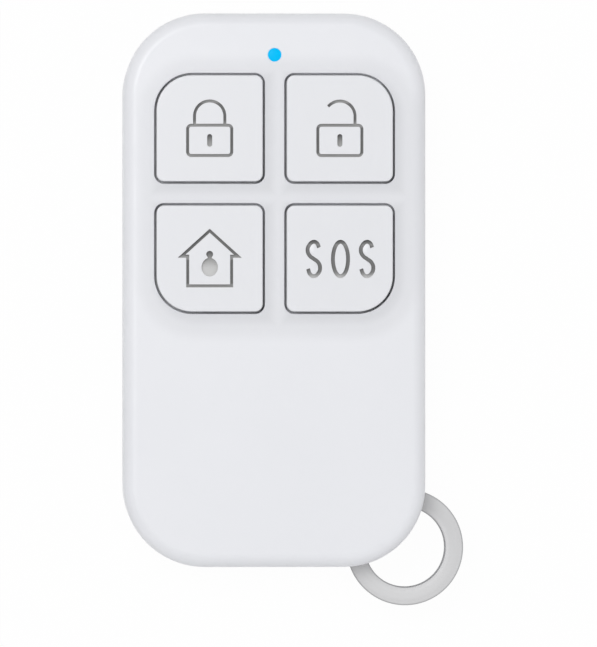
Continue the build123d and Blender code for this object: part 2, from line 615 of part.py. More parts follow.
def switch_plunger(side_x, side_y):
    """Stem under a key's post, with a flange inside the switch."""
    x, y = key_place(side_x, side_y)
    stem = disc(PLUNGER_RADIUS, PLUNGER_LOW, PLUNGER_TOP, x, y)
    return stem + disc(PLUNGER_FLANGE_RADIUS, PLUNGER_LOW, PLUNGER_FLANGE_TOP, x, y)


def switch_dome(side_x, side_y):
    """Sprung metal dome that lifts the plunger."""
    x, y = key_place(side_x, side_y)
    low = BOARD_TOP + SWITCH_FLOOR
    height = PLUNGER_LOW - DOME_GAP - low
    radius = (DOME_RADIUS * DOME_RADIUS + height * height) / (2 * height)
    centre = low + height - radius
    shell = Pos(x, y, centre) * (Sphere(radius) - Sphere(radius - DOME_THICKNESS))
    return shell & disc(DOME_RADIUS, low, low + height + OVERRUN, x, y)


def switch_terminals():
    """Four soldered tabs for each switch."""
    tabs = []
    for _, side_x, side_y in KEYS:
        x, y = key_place(side_x, side_y)
        for end in (-1, 1):
            tab_x = x + end * (SWITCH_SIZE + TERMINAL_LENGTH) / 2
            for row in (-1, 1):
                tab_y = y + row * TERMINAL_SPREAD / 2
                tab_top = BOARD_TOP + TERMINAL_THICKNESS
                tabs.append(block(TERMINAL_LENGTH, TERMINAL_WIDTH, BOARD_TOP, tab_top, tab_x, tab_y))
    return Compound(children=tabs)


def light_pipe():
    """Clear rod that shows the light in the front face, with a flange under the front wall."""
    low = BOARD_TOP + LED_HEIGHT + LIGHT_AIR_GAP
    pipe = disc(LIGHT_RADIUS, FRONT_INNER, CASE_HEIGHT, 0, LIGHT_Y)
    crown_radius = (LIGHT_RADIUS * LIGHT_RADIUS + LIGHT_CROWN * LIGHT_CROWN) / (2 * LIGHT_CROWN)
    crown = Pos(0, LIGHT_Y, CASE_HEIGHT + LIGHT_CROWN - crown_radius) * Sphere(crown_radius)
    pipe += crown & disc(LIGHT_RADIUS, CASE_HEIGHT, CASE_HEIGHT + LIGHT_CROWN + OVERRUN, 0, LIGHT_Y)
    pipe += disc(LIGHT_FLANGE_RADIUS, FRONT_INNER - LIGHT_FLANGE_THICKNESS, FRONT_INNER, 0, LIGHT_Y)
    return pipe + disc(LIGHT_STEM_RADIUS, low, FRONT_INNER, 0, LIGHT_Y)


def status_led():
    """Surface light on the board, with a round lens spot."""
    body = block(LED_LENGTH, LED_WIDTH, BOARD_TOP, BOARD_TOP + LED_HEIGHT, 0, LIGHT_Y)
    return body + disc(LED_LENS_RADIUS, BOARD_TOP, BOARD_TOP + LED_HEIGHT + LIGHT_AIR_GAP / 2, 0, LIGHT_Y)


def case_screw(x, y):
    """Self-tapping screw with a cross slot, its head sunk in the rear face."""
    head_top = SCREW_SINK + SCREW_HEAD_HEIGHT
    tip = head_top + SCREW_SHANK_LENGTH
    screw = disc(SCREW_HEAD_RADIUS, SCREW_SINK, head_top, x, y)
    shank = disc(SCREW_SHANK_RADIUS, head_top, tip, x, y)
    shank = chamfer(edges_at(shank, tip), SCREW_TIP_LENGTH, SCREW_SHANK_RADIUS / 2)
    screw += shank
    slot_top = SCREW_SINK + SCREW_SLOT_DEPTH
    screw -= block(SCREW_SLOT_LENGTH, SCREW_SLOT_WIDTH, SCREW_SINK - OVERRUN, slot_top, x, y)
    return screw - block(SCREW_SLOT_WIDTH, SCREW_SLOT_LENGTH, SCREW_SINK - OVERRUN, slot_top, x, y)


def case_screws():
    """The three screws that hold the case together."""
    return Compound(children=[case_screw(x, y) for x, y in BOSS_PLACES])


def cell_can():
    """Outer can of the coin cell, its plus side towards the door."""
    can = disc(CELL_RADIUS, CELL_LOW, CELL_TOP - CELL_CAP_STEP, 0, CELL_Y)
    can = fillet(edges_at(can, CELL_LOW), CELL_EDGE_RADIUS)
    inner = CELL_RADIUS - CELL_CAN_WALL
    return can - disc(inner, CELL_LOW + CELL_CAN_WALL, CELL_TOP, 0, CELL_Y)


def cell_seal():
    """Plastic seal between the can and the cap."""
    outer = CELL_RADIUS - CELL_CAN_WALL
    inner = outer - CELL_SEAL_WIDTH
    ring = disc(outer, CELL_LOW + CELL_CAN_WALL, CELL_TOP - CELL_CAP_STEP, 0, CELL_Y)
    return ring - disc(inner, CELL_LOW, CELL_TOP, 0, CELL_Y)


def cell_cap():
    """Minus cap of the coin cell, towards the board."""
    inner = CELL_RADIUS - CELL_CAN_WALL - CELL_SEAL_WIDTH
    base = disc(inner, CELL_LOW + CELL_CAN_WALL, CELL_TOP - CELL_CAP_STEP, 0, CELL_Y)
    crown = disc(CELL_CAP_RADIUS, CELL_TOP - CELL_CAP_STEP, CELL_TOP, 0, CELL_Y)
    return base + chamfer(edges_at(crown, CELL_TOP), CELL_CAP_STEP / 2)


def plus_contact():
    """Bent strip that touches the can's side, with a foot under the board."""
    near = -CELL_RADIUS - CONTACT_TOUCH_GAP
    far = near - CONTACT_THICKNESS
    foot_end = far - PLUS_FOOT
    drop = BOARD_LOW - CELL_HEIGHT * PLUS_DROP_SHARE
    foot_low = BOARD_LOW - CONTACT_THICKNESS
    corners = [
        (near, drop),
        (near, BOARD_LOW),
        (foot_end, BOARD_LOW),
        (foot_end, foot_low),
        (far, foot_low),
        (far, drop),
    ]
    outline = make_face(Polyline(*corners, close=True))
    strip = extrude(Plane.XZ * outline, amount=PLUS_WIDTH / 2, both=True)
    return Pos(0, CELL_Y, 0) * strip


def minus_contact():
    """Plate under the board with two sprung fingers that reach down to the cell's cap."""
    low = BOARD_LOW - CONTACT_THICKNESS
    tip_low = CELL_TOP + CONTACT_TOUCH_GAP
    plate = block(MINUS_PLATE_LENGTH, MINUS_WIDTH, low, BOARD_LOW, 0, CELL_Y)
    start = MINUS_PLATE_LENGTH / 2
    bend = start + MINUS_FINGER_RUN
    end = bend + MINUS_FINGER_TIP
    corners = [
        (0, BOARD_LOW),
        (start, BOARD_LOW),
        (bend, tip_low + CONTACT_THICKNESS),
        (end, tip_low + CONTACT_THICKNESS),
        (end, tip_low),
        (bend, tip_low),
        (start, low),
        (0, low),
    ]
    outline = make_face(Polyline(*corners, close=True))
    finger = extrude(Plane.XZ * outline, amount=MINUS_FINGER_WIDTH / 2, both=True)
    offset_y = (MINUS_WIDTH - MINUS_FINGER_WIDTH) / 2
    for side in (-1, 1):
        plate += Pos(0, CELL_Y + side * offset_y, 0) * finger
    return plate


def board_place(shares):
    """A place on the board from shares of the case's half width and half length."""
    return shares[0] * CASE_WIDTH / 2, shares[1] * CASE_LENGTH / 2


def chip_body(shares, length, width, height):
    """Moulded body of a chip, just off the board."""
    x, y = board_place(shares)
    low = BOARD_TOP + CHIP_STANDOFF
    return block(length, width, low, low + height, x, y)


def chip_leads(shares, width, height, count, pitch):
    """Bent leads along both long sides of a chip."""
    x, y = board_place(shares)
    side_y = width / 2
    exit_height = BOARD_TOP + CHIP_STANDOFF + height / 2
    bend = side_y + PIN_REACH - PIN_FOOT
    corners = [
        (side_y, exit_height + PIN_THICKNESS),
        (bend, exit_height + PIN_THICKNESS),
        (bend, BOARD_TOP + PIN_THICKNESS),
        (side_y + PIN_REACH, BOARD_TOP + PIN_THICKNESS),
        (side_y + PIN_REACH, BOARD_TOP),
        (bend - PIN_THICKNESS, BOARD_TOP),
        (bend - PIN_THICKNESS, exit_height),
        (side_y, exit_height),
    ]
    outline = make_face(Polyline(*corners, close=True))
    lead = extrude(Plane.YZ * outline, amount=PIN_WIDTH / 2, both=True)
    leads = []
    for number in range(count):
        lead_x = (number - (count - 1) / 2) * pitch
        for turn_deg in (0, 180):
            leads.append(Pos(x, y, 0) * Rot(0, 0, turn_deg) * Pos(lead_x, 0, 0) * lead)
    return Compound(children=leads)


def crystal():
    """Metal can of the timing crystal."""
    x, y = board_place(CRYSTAL_PLACE_SHARES)
    outline = RectangleRounded(CRYSTAL_LENGTH, CRYSTAL_WIDTH, CRYSTAL_CORNER_RADIUS)
    return extrude(Pos(x, y, BOARD_TOP) * outline, amount=CRYSTAL_HEIGHT)


def small_parts(places, height):
    """Row of small two-ended parts on the board."""
    made = []
    for shares in places:
        x, y = board_place(shares)
        made.append(block(SMALL_PART_LENGTH, SMALL_PART_WIDTH, BOARD_TOP, BOARD_TOP + height, x, y))
    return Compound(children=made)


def antenna_track():
    """Copper loop on the board, open at the top between its two ends."""
    left = BOARD_CLEARANCE + ANTENNA_EDGE_GAP - CAVITY_HALF_WIDTH
    right = POST_PLACE.X - BLOCK_RADIUS - BOARD_CLEARANCE - ANTENNA_BLOCK_GAP
    low = BOSS_RADIUS + BOARD_CLEARANCE + ANTENNA_BOSS_GAP - BOSS_Y
    length = right - left
    x = (left + right) / 2
    y = low + ANTENNA_HEIGHT / 2
    top = BOARD_TOP + ANTENNA_THICKNESS
    loop = block(length, ANTENNA_HEIGHT, BOARD_TOP, top, x, y)
    inner_length = length - 2 * ANTENNA_TRACK
    inner_height = ANTENNA_HEIGHT - 2 * ANTENNA_TRACK
    loop -= block(inner_length, inner_height, BOARD_TOP - OVERRUN, top + OVERRUN, x, y)
    gap_y = low + ANTENNA_HEIGHT
    gap_length = 2 * ANTENNA_TRACK + OVERRUN
    return loop - block(ANTENNA_GAP, gap_length, BOARD_TOP - OVERRUN, top + OVERRUN, x, gap_y)


def all_parts():
    """Every sub-part by the name of its file."""
    parts = {
        "front_shell": front_shell(),
        "rear_shell": rear_shell(),
        "battery_door": battery_door(),
        "key_ring": key_ring(),
        "circuit_board": circuit_board(),
        "light_pipe": light_pipe(),
        "status_led": status_led(),
        "case_screws": case_screws(),
        "cell_can": cell_can(),
        "cell_seal": cell_seal(),
        "cell_cap": cell_cap(),
        "plus_contact": plus_contact(),
        "minus_contact": minus_contact(),
        "switch_terminals": switch_terminals(),
        "encoder_chip": chip_body(ENCODER_PLACE_SHARES, ENCODER_LENGTH, ENCODER_WIDTH, ENCODER_HEIGHT),
        "encoder_leads": chip_leads(ENCODER_PLACE_SHARES, ENCODER_WIDTH, ENCODER_HEIGHT,
                                    ENCODER_PIN_COUNT, ENCODER_PIN_PITCH),
        "radio_chip": chip_body(RADIO_PLACE_SHARES, RADIO_LENGTH, RADIO_WIDTH, RADIO_HEIGHT),
        "radio_leads": chip_leads(RADIO_PLACE_SHARES, RADIO_WIDTH, RADIO_HEIGHT,
                                  RADIO_PIN_COUNT, RADIO_PIN_PITCH),
        "crystal": crystal(),
        "chip_resistors": small_parts(RESISTOR_PLACE_SHARES, RESISTOR_HEIGHT),
        "chip_capacitors": small_parts(CAPACITOR_PLACE_SHARES, CAPACITOR_HEIGHT),
        "antenna_track": antenna_track(),
    }
    for name, side_x, side_y in KEYS:
        parts[name + "_key"] = key(name, side_x, side_y)
        parts[name + "_switch_base"] = switch_base(side_x, side_y)
        parts[name + "_switch_cover"] = switch_cover(side_x, side_y)
        parts[name + "_switch_plunger"] = switch_plunger(side_x, side_y)
        parts[name + "_switch_dome"] = switch_dome(side_x, side_y)
    return parts


os.makedirs("parts", exist_ok=True)
for part_name, shape in all_parts().items():
    export_step(shape, f"parts/{part_name}.step")
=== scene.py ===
import json
import math

import bmesh
import bpy
from mathutils import Matrix, Vector

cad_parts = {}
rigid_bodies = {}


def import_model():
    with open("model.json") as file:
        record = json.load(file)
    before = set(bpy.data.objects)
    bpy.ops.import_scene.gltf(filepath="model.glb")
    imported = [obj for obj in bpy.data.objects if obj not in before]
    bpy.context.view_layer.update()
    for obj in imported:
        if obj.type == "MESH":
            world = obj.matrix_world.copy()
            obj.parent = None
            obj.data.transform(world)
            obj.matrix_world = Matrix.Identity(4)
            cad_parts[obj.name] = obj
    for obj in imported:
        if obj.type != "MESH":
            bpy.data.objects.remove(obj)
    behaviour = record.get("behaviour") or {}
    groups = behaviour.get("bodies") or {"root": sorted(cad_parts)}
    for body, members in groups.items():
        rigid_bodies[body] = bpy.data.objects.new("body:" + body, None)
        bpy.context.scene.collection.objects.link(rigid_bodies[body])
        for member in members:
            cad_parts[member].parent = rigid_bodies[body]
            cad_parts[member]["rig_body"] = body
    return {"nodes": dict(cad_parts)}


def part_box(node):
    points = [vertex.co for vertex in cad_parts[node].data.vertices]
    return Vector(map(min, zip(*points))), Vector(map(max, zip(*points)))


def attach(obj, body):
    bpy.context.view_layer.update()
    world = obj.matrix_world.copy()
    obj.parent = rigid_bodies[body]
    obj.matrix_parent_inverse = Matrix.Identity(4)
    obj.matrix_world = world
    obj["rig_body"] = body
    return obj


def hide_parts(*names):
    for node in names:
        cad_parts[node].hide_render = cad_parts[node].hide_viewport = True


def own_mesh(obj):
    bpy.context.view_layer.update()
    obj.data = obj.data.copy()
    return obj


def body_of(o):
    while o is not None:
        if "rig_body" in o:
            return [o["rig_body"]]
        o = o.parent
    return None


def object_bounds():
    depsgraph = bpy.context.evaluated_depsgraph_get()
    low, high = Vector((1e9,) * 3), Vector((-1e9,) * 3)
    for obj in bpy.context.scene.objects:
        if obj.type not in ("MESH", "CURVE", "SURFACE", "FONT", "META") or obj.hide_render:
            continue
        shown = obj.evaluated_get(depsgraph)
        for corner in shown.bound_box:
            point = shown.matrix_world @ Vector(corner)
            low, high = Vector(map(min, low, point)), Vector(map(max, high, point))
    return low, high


# Metres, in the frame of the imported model: the fob lies on its back, keys facing +Z, light at +Y
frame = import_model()
cad_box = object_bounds()

ORIGIN = (0.0, 0.0, 0.0)
UPRIGHT = (0.0, 0.0, 1.0)

# Camera above the front face, leaning a little to the left as in the photo
VIEW_CENTRE = (0.00258, -0.00363)
VIEW_LEAN_DEG = 1.8
VIEW_HEIGHT = 0.07045
CAMERA_DISTANCE = 0.9
CAMERA_REACH = (0.01, 10.0)
SENSOR_WIDTH_MM = 36.0

# Lamps: place, size, power in watts
KEY_LAMP = ((-0.14, 0.12, 0.52), 0.25, 1.1)
FILL_LAMP = ((0.22, -0.25, 0.45), 0.45, 0.37)
WORLD_LIGHT = 0.57
FLOOR_DEPTH = 0.00005
FLOOR_SIZE = 4.0
FLOOR_GLOW = 0.97

# Keys: name, and the side of the group that each stands on
KEYS = [("arm", -1, 1), ("disarm", 1, 1), ("home", -1, -1), ("panic", 1, -1)]
FLANGE_REACH = 0.0007
FLANGE_THICKNESS = 0.0006
KEY_SMALL_RADIUS = 0.00082
KEY_LARGE_RADIUS = 0.00388
KEY_INNER_RADIUS = 0.0003
KEY_EDGE_RADIUS = 0.00015
KEY_EDGE_STEPS = 5
KEY_SIDE_WALL = 0.001
KEY_TOP_WALL = 0.0012
KEY_POST_RADIUS = 0.0013
KEY_POST_GAP = 0.00002
KEY_RIB_WIDTH = 0.0006
KEY_RIB_DEPTH = 0.0005
CORNER_STEPS = 14
ROD_STEPS = 48

# Signs sunk into the key tops, from each key's middle
SIGN_DEPTH = 0.00035
SIGN_LINE = 0.0003
SIGN_SOFTNESS = 0.00003
ROUND_END_SHARE = 0.499
PADLOCK_WIDTH = 0.0051
PADLOCK_HEIGHT = 0.0036
PADLOCK_TOP = 0.00048
PADLOCK_RADIUS = 0.00055
SHACKLE_RADIUS = 0.00165
SHACKLE_CENTRE_Y = 0.00132
SHACKLE_CLOSED_DEG = 180.0
SHACKLE_OPEN_DEG = 140.0
SHACKLE_STEPS = 42
KEYHOLE_WIDTH = 0.00052
KEYHOLE_HEIGHT = 0.00136
HOUSE_ROOF_TOP = 0.00323
HOUSE_EAVE_Y = 0.0001
HOUSE_EAVE_HALF = 0.00345
HOUSE_WALL_HALF = 0.00254
HOUSE_FLOOR_Y = -0.00313
PERSON_HEAD_RADIUS = 0.00036
PERSON_HEAD_Y = 0.00046
PERSON_NECK_WIDTH = 0.00042
PERSON_BODY_HALF_WIDTH = 0.00088
PERSON_BODY_HALF_HEIGHT = 0.001
PERSON_BODY_Y = -0.00095
LETTER_HEIGHT = 0.00415
LETTER_S_WIDTH = 0.00178
LETTER_O_WIDTH = 0.00205
LETTER_LINE = 0.0004
LETTER_PITCH = 0.0029
LETTER_X = 0.00007
LETTER_Y = -0.00005
LETTER_O_STEPS = 64
LETTER_S_STEPS = 8
# The S from its upper end to its lower one, as shares of the half width and half height of its line
LETTER_S_SHARES = [
    (0.8, 0.67), (0.48, 0.92), (-0.04, 1.0), (-0.7, 0.83), (-1.0, 0.5), (-0.66, 0.19), (0.0, 0.0),
    (0.66, -0.19), (0.98, -0.5), (0.68, -0.84), (0.0, -1.0), (-0.56, -0.9), (-0.93, -0.58),
]

# Sign paint greys, with painted shade: in strokes across and upright, then up each mark from its foot
STROKE_SHADED_GREYS = (0.4, 0.23)
STROKE_FADE_LINES = 1.5
KEYHOLE_SHADED_GREYS = (0.55, 0.12)
FIGURE_SHADED_GREYS = (0.66, 0.6, 0.14)
# Greys up the letters with painted shade, each with its share of their height
LETTER_SHADED_FADE = [
    (0.0, 0.66), (0.05, 0.54), (0.1, 0.39), (0.155, 0.28), (0.26, 0.225),
    (0.73, 0.24), (0.81, 0.29), (0.875, 0.35), (0.93, 0.21), (1.0, 0.1),
]
SIGN_SHADE = (0.1, 0.1, 0.1)

# Key ring
RING_BAND = 0.00203
RING_LAYER = 0.0009
RING_EDGE_RADIUS = 0.0002
RING_EDGE_STEPS = 5
RING_STEP_DIRECTION_DEG = 135.0
RING_STEP_HALF_DEG = 15.0
RING_TURN_STEPS = 110
RING_RAMP_STEPS = 12

# Light window
WINDOW_RADIUS = 0.00071
WINDOW_CROWN = 0.00008
WINDOW_STEM_RADIUS = 0.0009
WINDOW_FLANGE_TOP = 0.0095
WINDOW_FLANGE_THICKNESS = 0.0005
WINDOW_STEPS = 48
WINDOW_CROWN_STEPS = 5

# Small parts on the board
END_CAP_LENGTH = 0.00035
END_CAP_STEP = 0.00002
PIN_ONE_RADIUS = 0.0002
PIN_ONE_INSET = 0.00055
LED_LENS_RADIUS = 0.00045

# Softened edges of moulded and stamped pieces
SHELL_SOFTNESS = 0.00008
STAMPED_SOFTNESS = 0.00003
SOFT_STEPS = 2
SHARP_DEG = 40.0
MERGE_REACH = 0.000001
FLAT_DEG = 0.5

# Light let into the white plastics
LIGHT_REACH = 0.0004
CLEAR_SHARE = 0.2

# Painted shadow on the case round its keys, as if cast by them: its shift, its reach, its share close by and
# further out, and where it ends below the front face
SHADE_OFFSET = (0.0004, -0.0005)
SHADE_REACH = 0.0032
SHADE_SHARES = (0.09, 0.07)
SHADE_END = (0.003, 0.004)

# Painted shade in the gaps round the keys: its share in upright gaps and in those that run across, how softly
# one turns into the other at the corners, and how far below the front face it is whole
GAP_SHADE_SHARES = (0.33, 0.12)
GAP_TURN = 0.0006
GAP_SHADE_DROP = 0.0004

# Marks in the moulded plastics: how many to the metre, how strong and how deep
MOTTLE_SCALE = 130.0
MOTTLE_SHARE = 0.12
SPECK_SCALE = 5200.0
SPECK_SHARE = 0.3
HANDLED_SCALE = 260.0
HANDLED_ROUGHNESS = (-0.02, 0.05)
GRAIN_SCALE = 6000.0
GRAIN_DEPTH = 0.000004
GLOW_SCALE = 900.0

# Marks in the metals
CLOUD_SCALE = 420.0
CLOUD_SHARE = 0.1
CLOUD_ROUGHNESS = 0.1
PIT_SCALE = 7000.0
PIT_SHARE = 0.5
SCRATCH_SCALES = (9000.0, 500.0, 9000.0)
SCRATCH_DEPTH = 0.000003
ROUND_MARK_DRIFT = 0.03

# Marks on the circuit board
TRACK_SCALE = 240.0
BARE_SCALE = 160.0
HOLE_SCALE = 330.0
HOLE_EDGE = (0.09, 0.07)
WEAVE_SCALES = (9000.0, 9000.0, 900.0)

# Colours, and the roughness of the ring, the signs' paint, the light window and the board
NO_LIGHT = (0.0, 0.0, 0.0)
FULL_LIGHT = (1.0, 1.0, 1.0)
WHITE = (0.8, 0.808, 0.84)
WHITE_SHADE = (0.74, 0.75, 0.785)
KEY_WHITE = (0.77, 0.778, 0.806)
DOOR_WHITE = (0.79, 0.8, 0.83)
BLACK = (0.02, 0.02, 0.022)
BLACK_SHADE = (0.045, 0.045, 0.05)
PIN_ONE_GREY = (0.3, 0.3, 0.3)
LENS_YELLOW = (0.85, 0.62, 0.08)
NICKEL = (0.51, 0.51, 0.515)
# Darker nickel painted on the ring's rolled edges: a painted reflection
NICKEL_PAINTED_REFLECTION = (0.41, 0.41, 0.42)
NICKEL_DULL = (0.43, 0.43, 0.44)
GLOW_BLUES = ((0.0, 0.49, 0.9), (0.0, 0.54, 0.96))
UNLIT_BLUES = ((0.0, 0.02, 0.04), (0.0, 0.01, 0.03))
MASK_GREEN = (0.004, 0.075, 0.022)
TRACK_GREEN = (0.012, 0.16, 0.045)
MASK_SHADE = (0.002, 0.04, 0.012)
TINNED = (0.62, 0.61, 0.58)
GLASS_FIBRE = ((0.32, 0.34, 0.16), (0.5, 0.5, 0.3))
FLOOR_GREY = (0.85, 0.85, 0.85)
RING_ROUGHNESS = 0.6
SIGN_ROUGHNESS = 0.6
WINDOW_ROUGHNESS = 0.3
BOARD_ROUGHNESS = 0.35


# ---- shader nodes

def add(tree, kind, inputs=None, **settings):
    """A node of one kind with its settings made and its inputs set or linked."""
    made = tree.nodes.new(kind)
    for name, value in settings.items():
        setattr(made, name, value)
    for name, value in (inputs or {}).items():
        if isinstance(value, bpy.types.NodeSocket):
            tree.links.new(value, made.inputs[name])
        else:
            made.inputs[name].default_value = value
    return made


def noise(tree, place, scale, detail=2.0):
    """Soft noise from 0 to 1."""
    made = add(tree, "ShaderNodeTexNoise", {"Vector": place, "Scale": scale, "Detail": detail})
    return made.outputs["Fac"]


def spread(tree, value, low, high, new_low=0.0, new_high=1.0):
    """A value between two limits, stretched smoothly to two new ones."""
    made = add(tree, "ShaderNodeMapRange", {0: value, 1: low, 2: high, 3: new_low, 4: new_high},
               interpolation_type="SMOOTHSTEP")
    return made.outputs[0]


def maths(tree, operation, first, second=0.0):
    """One sum on two values."""
    return add(tree, "ShaderNodeMath", {0: first, 1: second}, operation=operation).outputs[0]


def vector_maths(tree, operation, first, second):
    """One sum on two vectors."""
    return add(tree, "ShaderNodeVectorMath", {0: first, 1: second}, operation=operation).outputs[0]


def opaque(colour):
    """A colour as a colour socket takes it."""
    return (*colour, 1.0)


def mixed(tree, share, first, second):
    """Two colours mixed by a share."""
    return add(tree, "ShaderNodeMix", {0: share, 6: first, 7: second}, data_type="RGBA").outputs[2]


def stretched(tree, place, scales):
    """Coordinates scaled along each axis."""
    return add(tree, "ShaderNodeMapping", {"Vector": place, "Scale": scales}).outputs[0]


def bumped(tree, height, distance):
    """A normal pushed about by a height from 0 to 1."""
    return add(tree, "ShaderNodeBump", {"Height": height, "Distance": distance}).outputs["Normal"]


def object_place(tree):
    """The Object coordinates of the piece."""
    return add(tree, "ShaderNodeTexCoord").outputs["Object"]


def distance_from(tree, middle):
    """How far the surface is from an upright axis."""
    flat = vector_maths(tree, "SUBTRACT", object_place(tree), (middle.x, middle.y, 0.0))
    flat = vector_maths(tree, "MULTIPLY", flat, (1.0, 1.0, 0.0))
    return add(tree, "ShaderNodeVectorMath", {0: flat}, operation="LENGTH").outputs["Value"]


def turned_place(tree, middle):
    """Coordinates that run out from an upright axis, for marks that go round it."""
    height = add(tree, "ShaderNodeSeparateXYZ", {0: object_place(tree)}).outputs["Z"]
    rings = add(tree, "ShaderNodeCombineXYZ", {"X": distance_from(tree, middle), "Z": height}).outputs[0]
    drift = vector_maths(tree, "MULTIPLY", object_place(tree), (ROUND_MARK_DRIFT,) * 3)
    return vector_maths(tree, "ADD", rings, drift)


def box_middle(node):
    """The middle of a CAD node."""
    low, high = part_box(node)
    return (low + high) / 2


def new_group(name, sockets_in, sockets_out):
    """An empty shader node group, the values given to it and the node that takes its results."""
    tree = bpy.data.node_groups.new(name, "ShaderNodeTree")
    for socket, kind, value in sockets_in:
        made = tree.interface.new_socket(name=socket, in_out="INPUT", socket_type="NodeSocket" + kind)
        made.default_value = value
    for socket, kind in sockets_out:
        tree.interface.new_socket(name=socket, in_out="OUTPUT", socket_type="NodeSocket" + kind)
    given = tree.nodes.new("NodeGroupInput").outputs
    return tree, given, tree.nodes.new("NodeGroupOutput")


def finish_group(tree, result, values):
    """Links the values that a group puts out."""
    for name, value in values.items():
        tree.links.new(value, result.inputs[name])
    return tree


def moulded_plastic_group():
    """Moulded plastic: faint flow mottle, fine specks, slightly uneven gloss and a fine grain."""
    tree, given, result = new_group("moulded_plastic", [
        ("Colour", "Color", (0.8, 0.8, 0.8, 1.0)),
        ("Shade", "Color", (0.7, 0.7, 0.7, 1.0)),
        ("Roughness", "Float", 0.35),
    ], [("Colour", "Color"), ("Roughness", "Float"), ("Normal", "Vector")])
    place = object_place(tree)
    mottle = spread(tree, noise(tree, place, MOTTLE_SCALE, 3.0), 0.3, 0.7)
    specks = spread(tree, noise(tree, place, SPECK_SCALE, 1.0), 0.7, 0.78)
    faint = maths(tree, "MULTIPLY", mottle, MOTTLE_SHARE)
    shade = maths(tree, "MAXIMUM", faint, maths(tree, "MULTIPLY", specks, SPECK_SHARE))
    colour = mixed(tree, shade, given["Colour"], given["Shade"])
    handled = spread(tree, noise(tree, place, HANDLED_SCALE, 5.0), 0.35, 0.75, *HANDLED_ROUGHNESS)
    roughness = maths(tree, "ADD", given["Roughness"], handled)
    normal = bumped(tree, noise(tree, place, GRAIN_SCALE), GRAIN_DEPTH)
    return finish_group(tree, result, {"Colour": colour, "Roughness": roughness, "Normal": normal})


def plated_metal_group():
    """Plated metal: fine scratches, cloudy patches and small pits."""
    tree, given, result = new_group("plated_metal", [
        ("Place", "Vector", ORIGIN),
        ("Colour", "Color", (0.7, 0.7, 0.7, 1.0)),
        ("Dull", "Color", (0.4, 0.4, 0.4, 1.0)),
        ("Roughness", "Float", 0.25),
    ], [("Colour", "Color"), ("Roughness", "Float"), ("Normal", "Vector")])
    place = given["Place"]
    cloud = spread(tree, noise(tree, place, CLOUD_SCALE, 4.0), 0.35, 0.7)
    pits = spread(tree, noise(tree, object_place(tree), PIT_SCALE, 1.0), 0.72, 0.8)
    scratches = noise(tree, stretched(tree, place, SCRATCH_SCALES), 1.0)
    clouded = maths(tree, "MULTIPLY", cloud, CLOUD_SHARE)
    dulled = maths(tree, "ADD", clouded, maths(tree, "MULTIPLY", pits, PIT_SHARE))
    colour = mixed(tree, dulled, given["Colour"], given["Dull"])
    roughness = maths(tree, "ADD", given["Roughness"], maths(tree, "MULTIPLY", cloud, CLOUD_ROUGHNESS))
    normal = bumped(tree, maths(tree, "SUBTRACT", scratches, pits), SCRATCH_DEPTH)
    return finish_group(tree, result, {"Colour": colour, "Roughness": roughness, "Normal": normal})


MOULDED = moulded_plastic_group()
PLATED = plated_metal_group()


# ---- materials

def new_material(name, **settings):
    """A material with one Principled shader, and the constants set on its own sockets."""
    material = bpy.data.materials.new(name)
    material.use_nodes = True
    tree = material.node_tree
    tree.nodes.clear()
    shader = add(tree, "ShaderNodeBsdfPrincipled")
    for socket, value in settings.items():
        shader.inputs[socket.replace("_", " ")].default_value = value
    add(tree, "ShaderNodeOutputMaterial", {"Surface": shader.outputs[0]})
    return material, tree, shader


def use_group(tree, shader, group, values):
    """Places a group and links what it puts out to the shader."""
    made = add(tree, "ShaderNodeGroup", values, node_tree=group)
    tree.links.new(made.outputs["Colour"], shader.inputs["Base Color"])
    tree.links.new(made.outputs["Roughness"], shader.inputs["Roughness"])
    tree.links.new(made.outputs["Normal"], shader.inputs["Normal"])


def plastic(name, colour, shade, roughness, gloss=0.5, spot=None, clear=0.0):
    """A moulded plastic. spot is a round mark's (middle, radius, colour), clear the share of light let in."""
    material, tree, shader = new_material(name, Specular_IOR_Level=gloss, Subsurface_Weight=clear,
                                          Subsurface_Radius=(1.0, 1.0, 1.0), Subsurface_Scale=LIGHT_REACH)
    base = opaque(colour)
    if spot:
        middle, radius, spot_colour = spot
        inside = spread(tree, distance_from(tree, middle), radius * 1.1, radius * 0.9)
        base = mixed(tree, inside, base, opaque(spot_colour))
    use_group(tree, shader, MOULDED, {"Colour": base, "Shade": opaque(shade), "Roughness": roughness})
    return material


def metal(name, colour, dull, roughness, middle=None):
    """A plated or bare metal, with its marks round an upright axis where a middle is given."""
    material, tree, shader = new_material(name, Metallic=1.0)
    place = turned_place(tree, middle) if middle else object_place(tree)
    use_group(tree, shader, PLATED, {"Place": place, "Colour": opaque(colour), "Dull": opaque(dull),
                                     "Roughness": roughness})
    return material


def ring_nickel_plate():
    """Satin nickel whose rolled edges are painted darker, a painted reflection of darker surroundings."""
    low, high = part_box("key_ring")
    middle = (low + high) / 2
    middle_radius = (high.x - low.x - RING_BAND) / 2
    material, tree, shader = new_material("ring_nickel", Metallic=1.0)
    from_middle = maths(tree, "SUBTRACT", distance_from(tree, middle), middle_radius)
    across = maths(tree, "ABSOLUTE", from_middle)
    # Painted reflection: the nickel turns darker towards the band's edges, as mirrored darker surroundings
    # would make it
    edge = spread(tree, across, RING_BAND / 2 - RING_EDGE_RADIUS, RING_BAND / 2)
    colour = mixed(tree, edge, opaque(NICKEL), opaque(NICKEL_PAINTED_REFLECTION))
    use_group(tree, shader, PLATED, {"Place": turned_place(tree, middle), "Colour": colour,
                                     "Dull": opaque(NICKEL_DULL), "Roughness": RING_ROUGHNESS})
    return material


